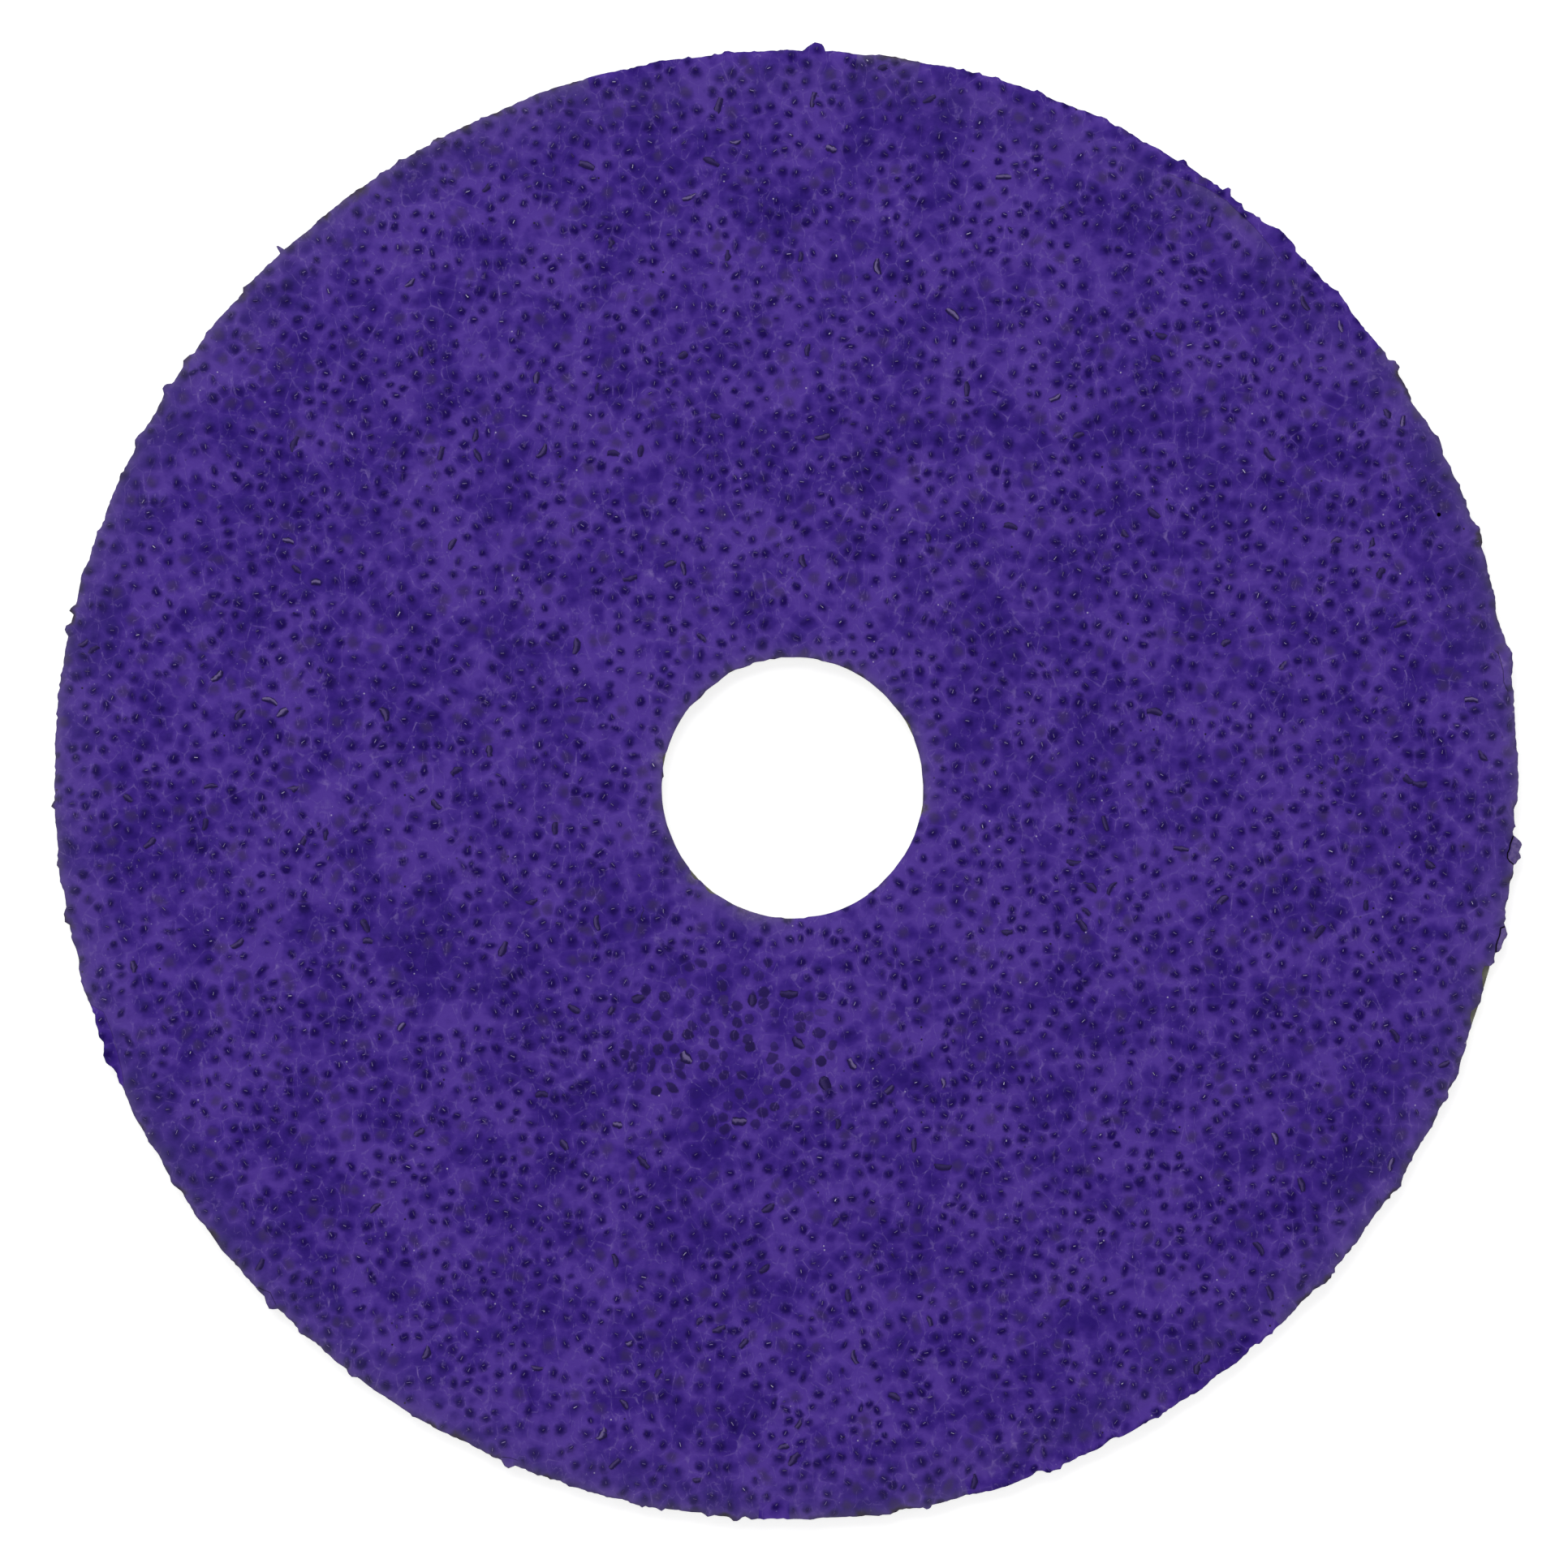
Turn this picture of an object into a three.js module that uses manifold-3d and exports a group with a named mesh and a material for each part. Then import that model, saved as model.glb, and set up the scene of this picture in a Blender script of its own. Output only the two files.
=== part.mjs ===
// A fibre sanding disc for an angle grinder: a punched disc of vulcanised fibre with a coat of
// resin-bound abrasive grain on its upper face. Millimetres, +Z up.
// The disc lies on the plain back of its fibre. The origin is on the hole's axis, in that back face.
import * as THREE from "three";
import { mergeVertices } from "three/addons/utils/BufferGeometryUtils.js";
import Module from "manifold-3d";

const wasm = await Module();
wasm.setup();

// The fibre: the rim and the hole are punched, and the rim lands a little off the hole's axis.
const RIM_DIAMETER = 124.5;
const HOLE_DIAMETER = 22.4;
const RIM_OFFSET_X = -0.48;
const RIM_OFFSET_Y = 0.39;
const FIBRE_THICKNESS = 0.8;
const EDGE_CHAMFER = 0.1;
const RIM_SIDES = 144;
const HOLE_SIDES = 48;

// The rim isn't quite round: it swells in evenly spaced lobes, with a crest at so many degrees
// from +X towards +Y.
const RIM_LOBES = [
  { count: 2, swell: 0.14, crest: 73 },
  { count: 3, swell: 0.17, crest: 40 },
];

// The coat: resin between the grains, and how far the grain tips stand up out of it.
const RESIN_THICKNESS = 0.6;
const RESIN_UNEVENNESS = 0.12;
const GRAIN_HEIGHT = 0.62;
const GRAIN_HEIGHT_SPREAD = 0.3;
const GRAIN_SPACING = 3.4;
const GRAIN_SCATTER = 0.35;
const GRAIN_SEED = 2487;

// The coat breaks raggedly at the punched edges: it stands past the fibre at the rim and stops
// short of it at the hole.
const RIM_OVERHANG = 0.24;
const RIM_RAGGEDNESS = 0.22;
const RIM_STEPS = 200;
const HOLE_SETBACK = 0.04;
const HOLE_RAGGEDNESS = 0.2;
const HOLE_STEPS = 64;

// Broken bits of coat that stand out of the rim, and dents in it. Each has its middle in degrees
// from +X towards +Y, its width along the rim and its reach past the edge around it. The lean
// moves its crest towards one foot: -1 to the foot at the smaller angle, 1 to the other.
const RIM_BITS = [
  { at: 9.2, wide: 3.5, reach: 0.27, lean: 0.5 },
  { at: 13.1, wide: 3.6, reach: -0.28, lean: 0 },
  { at: 20.0, wide: 2.6, reach: 0.37, lean: 0 },
  { at: 27.6, wide: 2.2, reach: 0.24, lean: 0.2 },
  { at: 31.0, wide: 3.0, reach: -0.28, lean: 0 },
  { at: 34.5, wide: 1.5, reach: 0.55, lean: 0.1 },
  { at: 41.4, wide: 2.4, reach: 0.18, lean: 0 },
  { at: 47.9, wide: 3.6, reach: 0.46, lean: 0 },
  { at: 51.4, wide: 1.6, reach: -0.2, lean: 0 },
  { at: 53.3, wide: 0.9, reach: 0.55, lean: 0.2 },
  { at: 57.4, wide: 1.0, reach: 0.28, lean: 0 },
  { at: 64.5, wide: 1.8, reach: 0.2, lean: 0 },
  { at: 69.8, wide: 1.6, reach: 0.25, lean: 0.3 },
  { at: 87.9, wide: 2.0, reach: 0.72, lean: -0.6 },
  { at: 94.6, wide: 1.1, reach: 0.2, lean: 0.4 },
  { at: 118.6, wide: 1.4, reach: 0.2, lean: 0 },
  { at: 133.5, wide: 0.5, reach: 0.72, lean: 0 },
  { at: 137.3, wide: 1.4, reach: 0.24, lean: 0.4 },
  { at: 144.8, wide: 1.4, reach: 0.36, lean: 0 },
  { at: 147.5, wide: 1.1, reach: 0.45, lean: 0.2 },
  { at: 152.0, wide: 1.6, reach: 0.28, lean: 0 },
  { at: 166.3, wide: 0.9, reach: 0.4, lean: 0.3 },
  { at: 167.9, wide: 1.2, reach: 0.46, lean: -0.2 },
  { at: 181.7, wide: 0.8, reach: 0.3, lean: 0 },
  { at: 190.6, wide: 1.3, reach: 0.26, lean: 0.3 },
  { at: 193.4, wide: 2.8, reach: -0.24, lean: 0 },
  { at: 202.0, wide: 2.2, reach: 0.38, lean: 0 },
  { at: 213.1, wide: 1.4, reach: 0.2, lean: 0 },
  { at: 225.2, wide: 1.6, reach: 0.38, lean: 0 },
  { at: 233.6, wide: 1.2, reach: 0.26, lean: 0 },
  { at: 247.7, wide: 1.3, reach: 0.42, lean: 0 },
  { at: 258.1, wide: 1.8, reach: 0.18, lean: 0.7 },
  { at: 266.0, wide: 1.1, reach: 0.32, lean: 0 },
  { at: 277.6, wide: 3.2, reach: 0.2, lean: 0 },
  { at: 281.0, wide: 0.8, reach: 0.36, lean: 0 },
  { at: 290.0, wide: 1.4, reach: -0.3, lean: 0.4 },
  { at: 291.5, wide: 1.3, reach: 0.28, lean: 0.2 },
  { at: 296.2, wide: 2.0, reach: -0.24, lean: 0 },
  { at: 317.4, wide: 2.4, reach: 0.42, lean: 0 },
  { at: 326.5, wide: 1.7, reach: 0.3, lean: 0 },
  { at: 336.3, wide: 2.4, reach: 0.24, lean: 0 },
  { at: 357.6, wide: 2.2, reach: -0.26, lean: 0 },
];

// Two chips, where the coat has broken back from the rim and the fibre shows.
const RIM_CHIPS = [
  { at: 341.2, wide: 2.1, reach: -0.8, lean: -0.2 },
  { at: 344.3, wide: 2.6, reach: -0.9, lean: 0.6 },
];

// Two flakes that hang on at the rim, each behind a crack that stops above the fibre.
const RIM_FLAKES = [
  { at: 348.0, wide: 2.4, reach: 0.55, lean: 0 },
  { at: 354.8, wide: 2.7, reach: 0.62, lean: 0.2 },
];
const CRACK_WIDTH = 0.16;
const CRACK_INSET = 0.5;
const CRACK_FLOOR = 0.35;

// How far a cutting shape runs past the faces that it cuts.
const CUT_MARGIN = 1;

const rimRadius = RIM_DIAMETER / 2;
const holeRadius = HOLE_DIAMETER / 2;
const rimCentre = new THREE.Vector2(RIM_OFFSET_X, RIM_OFFSET_Y);
const holeCentre = new THREE.Vector2(0, 0);
const coatEdgeRadius = rimRadius + RIM_OVERHANG;
const coatTop = FIBRE_THICKNESS + RESIN_THICKNESS + GRAIN_HEIGHT;
const random = THREE.MathUtils.seededRandom;

// A closed three.js geometry as a solid that can be cut.
function toSolid(geometry) {
  const bare = geometry.clone();
  bare.deleteAttribute("normal");
  bare.deleteAttribute("uv");
  const merged = mergeVertices(bare, 1e-4);
  return new wasm.Manifold(
    new wasm.Mesh({
      numProp: 3,
      vertProperties: new Float32Array(merged.attributes.position.array),
      triVerts: new Uint32Array(merged.index.array),
    }),
  );
}

function toGeometry(solid) {
  const mesh = solid.getMesh();
  const geometry = new THREE.BufferGeometry();
  geometry.setAttribute("position", new THREE.BufferAttribute(mesh.vertProperties, 3));
  geometry.setIndex(new THREE.BufferAttribute(mesh.triVerts, 1));
  geometry.computeVertexNormals();
  return geometry;
}

// How far the rim swells past its mean radius at an angle in radians.
function rimSwell(angle) {
  let swell = 0;
  for (const lobe of RIM_LOBES) {
    swell += lobe.swell * Math.cos(lobe.count * (angle - THREE.MathUtils.degToRad(lobe.crest)));
  }
  return swell;
}

// A round solid about +Z from a profile of [radius, height] points that starts and ends on the axis.
function turned(profile, sides) {
  const points = profile.map(([radius, height]) => new THREE.Vector2(radius, height));
  return new THREE.LatheGeometry(points, sides).rotateX(Math.PI / 2);
}

// The fibre: a disc, swollen in lobes, with the hole cut through it and its back edges eased.
function fibreGeometry() {
  const blank = turned(
    [
      [0, 0],
      [rimRadius - EDGE_CHAMFER, 0],
      [rimRadius, EDGE_CHAMFER],
      [rimRadius, FIBRE_THICKNESS],
      [0, FIBRE_THICKNESS],
    ],
    RIM_SIDES,
  );
  const points = blank.attributes.position;
  for (let index = 0; index < points.count; index += 1) {
    const x = points.getX(index);
    const y = points.getY(index);
    const stretch = 1 + rimSwell(Math.atan2(y, x)) / rimRadius;
    points.setXY(index, rimCentre.x + x * stretch, rimCentre.y + y * stretch);
  }
  const punch = turned(
    [
      [0, -CUT_MARGIN],
      [holeRadius + EDGE_CHAMFER + CUT_MARGIN, -CUT_MARGIN],
      [holeRadius, EDGE_CHAMFER],
      [holeRadius, FIBRE_THICKNESS + CUT_MARGIN],
      [0, FIBRE_THICKNESS + CUT_MARGIN],
    ],
    HOLE_SIDES,
  );
  return toGeometry(toSolid(blank).subtract(toSolid(punch)));
}

// A ragged loop of points round a centre. A random share of the raggedness unsettles its radius,
// and each bit puts its two feet and its two-point crest in place of the points that it covers.
function raggedLoop(centre, radius, swell, raggedness, steps, bits) {
  const stops = [];
  for (let step = 0; step < steps; step += 1) {
    stops.push({ angle: (step / steps) * 2 * Math.PI, reach: raggedness * (random() - 0.5) });
  }
  const kept = stops.filter(({ angle }) =>
    bits.every(({ at, wide }) => {
      const turn = angle - THREE.MathUtils.degToRad(at);
      const away = Math.abs(THREE.MathUtils.euclideanModulo(turn + Math.PI, 2 * Math.PI) - Math.PI);
      return away * radius > wide * 0.6;
    }),
  );
  for (const { at, wide, reach, lean } of bits) {
    const middle = THREE.MathUtils.degToRad(at);
    const half = wide / 2 / radius;
    kept.push({ angle: middle - half, reach: 0 });
    kept.push({ angle: middle + half * (0.6 * lean - 0.3), reach: reach * 0.85 });
    kept.push({ angle: middle + half * (0.6 * lean + 0.3), reach });
    kept.push({ angle: middle + half, reach: 0 });
  }
  return kept
    .sort((a, b) => a.angle - b.angle)
    .map(({ angle, reach }) => {
      const distance = radius + swell(angle) + reach;
      return new THREE.Vector2(Math.cos(angle), Math.sin(angle)).multiplyScalar(distance).add(centre);
    });
}

// The coat's plan, with its ragged rim and hole, as a solid taller than the coat.
function coatPlan() {
  const bits = [...RIM_BITS, ...RIM_CHIPS, ...RIM_FLAKES];
  const rim = raggedLoop(rimCentre, coatEdgeRadius, rimSwell, RIM_RAGGEDNESS, RIM_STEPS, bits);
  const hole = raggedLoop(holeCentre, holeRadius + HOLE_SETBACK, () => 0, HOLE_RAGGEDNESS, HOLE_STEPS, []);
  const plan = new THREE.Shape(rim);
  plan.holes.push(new THREE.Path(hole));
  const depth = coatTop - FIBRE_THICKNESS + CUT_MARGIN;
  return new THREE.ExtrudeGeometry(plan, { depth, bevelEnabled: false }).translate(0, 0, FIBRE_THICKNESS);
}

// A sheet of coat wider than the disc. Its top is a lattice of triangles: one point in three is a
// grain tip, and the six around it lie in the resin.
function grainSheet() {
  const pitch = GRAIN_SPACING / Math.sqrt(3);
  const rowHeight = (pitch * Math.sqrt(3)) / 2;
  const width = 2 * (coatEdgeRadius + rimCentre.length() + GRAIN_SPACING + CUT_MARGIN);
  const rows = Math.ceil(width / rowHeight);
  const columns = Math.ceil(width / pitch + rows / 2);
  const sheet = new THREE.BoxGeometry(columns, rows, 1, columns, rows, 1);
  sheet.deleteAttribute("normal");
  sheet.deleteAttribute("uv");
  const lattice = mergeVertices(sheet, 1e-3);
  const points = lattice.attributes.position;
  const scatter = () => GRAIN_SCATTER * pitch * (random() - 0.5);
  for (let index = 0; index < points.count; index += 1) {
    const column = Math.round(points.getX(index) + columns / 2);
    const row = Math.round(points.getY(index) + rows / 2);
    const x = (column - columns / 2 - (row - rows / 2) / 2) * pitch;
    const y = (row - rows / 2) * rowHeight;
    if (points.getZ(index) < 0) {
      points.setXYZ(index, x, y, FIBRE_THICKNESS - CUT_MARGIN);
      continue;
    }
    const isTip = (column + row) % 3 === 0;
    const resin = RESIN_THICKNESS + RESIN_UNEVENNESS * (random() - 0.5);
    const tip = RESIN_THICKNESS + GRAIN_HEIGHT - GRAIN_HEIGHT_SPREAD * random();
    points.setXYZ(index, x + scatter(), y + scatter(), FIBRE_THICKNESS + (isTip ? tip : resin));
  }
  return lattice;
}

// The crack behind one flake: a narrow slot along the rim, open at the top.
function crackSlot({ at, wide }) {
  const angle = THREE.MathUtils.degToRad(at);
  const radius = coatEdgeRadius + rimSwell(angle) - CRACK_INSET;
  const floor = FIBRE_THICKNESS + CRACK_FLOOR;
  const height = coatTop + CUT_MARGIN - floor;
  return new THREE.BoxGeometry(CRACK_WIDTH, wide, height)
    .translate(radius, 0, floor + height / 2)
    .rotateZ(angle)
    .translate(rimCentre.x, rimCentre.y, 0);
}

function coatGeometry() {
  random(GRAIN_SEED);
  let coat = toSolid(grainSheet()).intersect(toSolid(coatPlan()));
  for (const flake of RIM_FLAKES) {
    coat = coat.subtract(toSolid(crackSlot(flake)));
  }
  return toGeometry(coat);
}

// Vulcanised fibre: hard, dense board made of cotton paper, olive grey.
const fibre = new THREE.Mesh(
  fibreGeometry(),
  new THREE.MeshStandardMaterial({ color: 0x6b6a5a, roughness: 0.75, metalness: 0 }),
);
fibre.name = "fibre_backing";

// Abrasive grain bound and covered by violet resin.
const coat = new THREE.Mesh(
  coatGeometry(),
  new THREE.MeshStandardMaterial({ color: 0x402b7d, roughness: 0.55, metalness: 0, flatShading: true }),
);
coat.name = "abrasive_coat";

const disc = new THREE.Group();
disc.name = "fibre_sanding_disc";
disc.add(fibre, coat);

export default disc;
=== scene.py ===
import math

import bpy
import numpy as np
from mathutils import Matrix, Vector, geometry, kdtree, noise


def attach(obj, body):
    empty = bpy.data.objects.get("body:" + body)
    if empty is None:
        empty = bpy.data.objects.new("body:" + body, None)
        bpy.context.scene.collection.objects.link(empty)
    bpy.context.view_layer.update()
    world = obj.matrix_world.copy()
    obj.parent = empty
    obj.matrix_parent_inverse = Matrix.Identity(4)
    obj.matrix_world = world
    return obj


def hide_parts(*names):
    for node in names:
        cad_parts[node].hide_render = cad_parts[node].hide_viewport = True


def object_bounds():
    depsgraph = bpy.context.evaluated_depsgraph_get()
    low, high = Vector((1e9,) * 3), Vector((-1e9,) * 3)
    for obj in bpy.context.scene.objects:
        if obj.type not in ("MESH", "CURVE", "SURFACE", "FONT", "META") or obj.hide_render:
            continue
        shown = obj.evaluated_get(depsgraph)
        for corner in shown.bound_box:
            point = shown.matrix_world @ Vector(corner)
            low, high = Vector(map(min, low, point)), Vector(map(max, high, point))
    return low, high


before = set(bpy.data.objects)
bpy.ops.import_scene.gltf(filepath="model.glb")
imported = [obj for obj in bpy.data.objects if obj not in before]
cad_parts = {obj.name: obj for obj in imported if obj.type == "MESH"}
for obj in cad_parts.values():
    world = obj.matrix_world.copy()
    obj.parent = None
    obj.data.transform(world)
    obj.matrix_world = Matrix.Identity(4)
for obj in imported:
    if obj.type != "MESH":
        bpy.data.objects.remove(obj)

cad_low, cad_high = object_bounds()


# Fibre backing: one punched sheet of vulcanised fibre, made of cotton paper that is gelled in
# zinc chloride, pressed and dried hard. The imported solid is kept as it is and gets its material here.
# It shows at the two chips in the rim, all round the edge, and over the whole back.
MM = 0.001
FIBRE_GREY = "#82816F"
FIBRE_PALE = "#A3A293"
FIBRE_DARK = "#55543F"
PAPER_FIBRE_MM = 0.35
FLECKS_PER_MM = 2.2
STAINS_PER_MM = 0.06


def linear(colour):
    """An sRGB colour written as hex, as the linear values that a shader takes."""
    parts = [int(colour[i:i + 2], 16) / 255 for i in (1, 3, 5)]
    return tuple(c / 12.92 if c <= 0.04045 else ((c + 0.055) / 1.055) ** 2.4 for c in parts) + (1.0,)


def node(tree, kind, inputs=None, out=0, **settings):
    """Adds a shader node, makes its settings, and fills its inputs with values or with links.

    It gives the output that is asked for, or the node itself where that has none or out is None."""
    made = tree.nodes.new("ShaderNode" + kind)
    for name, value in settings.items():
        setattr(made, name, value)
    for key, value in (inputs or {}).items():
        if isinstance(value, bpy.types.NodeSocket):
            tree.links.new(value, made.inputs[key])
        else:
            made.inputs[key].default_value = value
    return made.outputs[out] if made.outputs and out is not None else made


def emptied(owner):
    """The node tree of a material or of the world, with nothing in it yet."""
    owner.use_nodes = True
    owner.node_tree.nodes.clear()
    return owner.node_tree


# Vulcanised fibre, calendered: dull and leathery, with paper fibres pressed flat into the face.
vulcanised_fibre = bpy.data.materials.new("calendered vulcanised fibre")
tree = emptied(vulcanised_fibre)
place = node(tree, "TexCoord", out="Object")
in_mm = node(tree, "VectorMath", {0: place, "Scale": 1 / MM}, operation="SCALE")
drawn_out = node(tree, "Mapping", {"Vector": in_mm, "Scale": (0.25, 1.0, 1.0)})
paper = node(tree, "TexNoise", {
    "Vector": drawn_out, "Scale": 1 / PAPER_FIBRE_MM, "Detail": 5.0, "Roughness": 0.65})
fleck = node(tree, "TexNoise", {"Vector": in_mm, "Scale": FLECKS_PER_MM, "Detail": 4.0, "Roughness": 0.7})
cloud = node(tree, "TexNoise", {"Vector": in_mm, "Scale": STAINS_PER_MM, "Detail": 3.0})
paper_tone = node(tree, "MapRange", {"Value": paper, "From Min": 0.3, "From Max": 0.7})
fleck_mask = node(tree, "MapRange", {"Value": fleck, "From Min": 0.52, "From Max": 0.68, "To Max": 0.7})
cloud_mask = node(tree, "MapRange", {"Value": cloud, "From Min": 0.35, "From Max": 0.65, "To Max": 0.35})
colour = linear(FIBRE_GREY)
for mask, over in ((paper_tone, FIBRE_PALE), (fleck_mask, FIBRE_DARK), (cloud_mask, FIBRE_DARK)):
    colour = node(tree, "Mix", {0: mask, 6: colour, 7: linear(over)}, 2, data_type="RGBA")
fibre_dent = node(tree, "Bump", {"Height": paper, "Distance": 0.03 * MM, "Strength": 0.6})
fibre_dull = node(tree, "MapRange", {"Value": paper, "To Min": 0.62, "To Max": 0.85})
fibre_skin = node(
    tree, "BsdfPrincipled",
    {"Base Color": colour, "Roughness": fibre_dull, "Normal": fibre_dent, "Specular IOR Level": 0.3},
)
node(tree, "OutputMaterial", {"Surface": fibre_skin})

fibre_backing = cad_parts["fibre_backing"]
fibre_backing.data.materials.clear()
fibre_backing.data.materials.append(vulcanised_fibre)


# Resin coat: the violet cover coat cured over a bond coat and thousands of coarse grains. It is poured
# over the grain and shrinks as it cures, so that it stands up over each grain as a low mound, and
# meets in fine pale craze lines between them. Its rim is broken where the disc was punched.
PX_PER_MM = 14.46
HOLE_AXIS_PX = (976.5, 970.6)
RIM_CENTRE = np.array((-0.48, 0.39))
COAT_FOOT = 0.8
COAT_TOP = 1.40
OUTLINE_STEP = 0.28
RIM_WANDER = 0.10
HOLE_WANDER = 0.012
RIM_KNOBS = 0.42
INSIDE_BOX = 0.01
SEED = 4127


def seen_at(points):
    """Where these pixels of the photograph, which looks straight down, lie on the disc in mm."""
    points = np.array(points, dtype=float)
    return np.c_[points[:, 0] - HOLE_AXIS_PX[0], HOLE_AXIS_PX[1] - points[:, 1]] / PX_PER_MM


def longest_outline(mesh, height):
    """The longest outline in mm of the flat faces that lie at this height."""
    after = {}
    for face in mesh.polygons:
        corners = [mesh.vertices[i].co for i in face.vertices]
        if max(abs(c.z / MM - height) for c in corners) > 1e-3:
            continue
        keys = [(round(c.x * 1e6), round(c.y * 1e6)) for c in corners]
        for a, b in zip(keys, keys[1:] + keys[:1]):
            if a in after.get(b, ()):
                after[b].remove(a)
            else:
                after.setdefault(a, []).append(b)
    loops = []
    while any(after.values()):
        start = next(a for a in after if after[a])
        loop, here = [], start
        while after.get(here):
            loop.append(here)
            here = after[here].pop()
        loops.append(np.array(loop) / 1000.0)
    return max(loops, key=len)


def about(points, centre):
    """Angles and radii of these points about a centre, in the order of their angles."""
    away = points - centre
    turn = np.arctan2(away[:, 1], away[:, 0])
    order = np.argsort(turn)
    return turn[order], np.hypot(away[:, 0], away[:, 1])[order]


def stepped(turn, reach, centre, step):
    """A closed outline with a point at each given corner and others between them, a step apart."""
    corners = centre + np.c_[np.cos(turn), np.sin(turn)] * reach[:, None]
    points = []
    for a, b in zip(corners, np.roll(corners, -1, axis=0)):
        count = max(1, round(float(np.hypot(*(b - a))) / step))
        points += [a + (b - a) * k / count for k in range(count)]
    return np.array(points)


# The broken stretch of the rim, read corner by corner: two chips with bare fibre, and two flakes.
BROKEN_RIM = seen_at([
    (1811.5, 1272), (1814, 1263), (1811.5, 1254), (1813, 1246), (1817, 1242), (1822.5, 1238),
    (1825, 1234.5), (1826, 1229), (1827.5, 1222), (1828.5, 1219), (1826.8, 1214), (1826.8, 1200),
    (1827.3, 1194), (1829, 1190.5), (1834, 1190.2), (1837, 1190), (1839, 1188), (1842, 1186),
    (1842.5, 1181), (1842.3, 1175), (1843.5, 1174), (1846.5, 1172.5), (1849, 1168), (1852, 1162),
    (1856, 1155), (1858, 1151), (1857, 1148), (1855.5, 1143), (1854, 1140), (1853, 1137),
    (1855.5, 1132), (1855.3, 1120), (1856, 1112), (1858.5, 1107), (1859.5, 1100), (1860, 1090),
    (1862, 1081), (1864.5, 1076), (1865, 1066), (1868, 1064), (1870, 1060), (1872, 1057),
    (1872, 1050), (1873.5, 1045), (1875.5, 1041), (1874, 1038), (1872, 1035), (1869, 1032),
    (1865, 1029), (1864.7, 1020),
])

# The edge of the hole, read as degrees from the right and pixels from the hole's axis. The
# fibre shows past it in only a few places, so elsewhere it isn't let past the fibre's own edge.
HOLE_EDGE = np.array([
    (0, 163), (10, 163.5), (15, 164.3), (21, 162.8), (28, 164.8), (35, 163.5), (45, 163.5), (53, 163.8),
    (57, 163.2), (60, 164), (65, 163), (70, 162.5), (75, 161.3), (77, 160.8), (78.5, 161.5), (80, 163.2),
    (85, 162.8), (95, 162.5), (98, 160.5), (100, 161.5), (103, 160.5), (105, 161.8), (107.5, 163.2),
    (109, 160.5), (112, 160.3), (115, 161.8), (118, 163.2), (120, 162.5), (123, 160.8), (125, 160),
    (130, 160.5), (132, 160.7), (134, 159.5), (136, 159.2), (139, 160.7), (142, 162.5), (145, 163.2),
    (149.5, 165), (152, 163.2), (155, 162.5), (160, 163.8), (164, 163), (167, 165), (168, 164), (172, 163),
    (174, 160.5), (175, 160), (176, 161.5), (178, 163.8), (180, 164.5), (185, 163.8), (188, 165.5),
    (190, 165), (193, 161.8), (196, 163.5), (199, 161.8), (201, 161.3), (205, 162.8), (210, 163.2),
    (214, 162.5), (218, 164), (221, 165.2), (223, 165.5), (225, 163.8), (227, 163.5), (230, 165),
    (232, 165.5), (235, 164), (243, 163.8), (246, 162.3), (249, 161.5), (252, 163), (254, 161.3),
    (256, 162.5), (260, 163.8), (262, 162), (265, 161), (267, 162.5), (270, 163), (275, 163), (277, 160.8),
    (280, 161.3), (283, 162), (287, 163.5), (290, 162.5), (293, 162), (297, 163.5), (300, 163),
    (305, 161.8), (306, 161), (308, 161.5), (310, 162.3), (320, 161.3), (330, 161.8), (335, 162.5),
    (337, 163.5), (340, 162.3), (343, 161.5), (347, 162.8), (350, 164), (355, 163),
])
HOLE_EDGE_SHIFT_PX = 0.8
# The fibre's own edge in the hole, and the stretches in degrees where it shows past the coat.
HOLE_FIBRE = 11.14
HOLE_OPEN = ((27, 33.5), (116, 119), (165.5, 168.5), (219.5, 224), (229.5, 233), (348.5, 352.5))

coat_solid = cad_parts["abrasive_coat"]
rim_loop = longest_outline(coat_solid.data, COAT_FOOT)
rim_turn, rim_reach = about(rim_loop, RIM_CENTRE)
broken_turn, broken_reach = about(BROKEN_RIM, RIM_CENTRE)
whole = (rim_turn < broken_turn[0]) | (rim_turn > broken_turn[-1])
order = np.argsort(np.r_[rim_turn[whole], broken_turn])
rim_turn = np.r_[rim_turn[whole], broken_turn][order]
rim_reach = np.r_[rim_reach[whole], broken_reach][order]
rim = stepped(rim_turn, rim_reach, RIM_CENTRE, OUTLINE_STEP)
hole_turn = np.radians(HOLE_EDGE[:, 0])
hole_reach = (HOLE_EDGE[:, 1] - HOLE_EDGE_SHIFT_PX) / PX_PER_MM
open_here = np.any(
    [(HOLE_EDGE[:, 0] > low) & (HOLE_EDGE[:, 0] < high) for low, high in HOLE_OPEN], axis=0)
hole_reach = np.where(open_here, hole_reach, np.minimum(hole_reach, HOLE_FIBRE))
hole = stepped(hole_turn, hole_reach, np.zeros(2), OUTLINE_STEP)


def fray(loop, centre, amount, knobs, seed, sign):
    """The outline with fine breaks in it, and small knobs where grain stands out of it."""
    frayed = []
    for x, y in loop:
        fine = noise.noise(Vector((x * 2.6, y * 2.6, seed)))
        coarse = noise.noise(Vector((x * 0.7, y * 0.7, seed + 7)))
        cut = amount * max(0.0, 0.25 + 1.2 * fine + 1.2 * coarse)
        knob = noise.noise(Vector((x * 1.3, y * 1.3, seed + 13)))
        cut -= knobs * max(0.0, knob - 0.2)
        away = np.array((x, y)) - centre
        frayed.append(np.array((x, y)) - sign * away / np.hypot(*away) * cut)
    return np.array(frayed)


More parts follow.
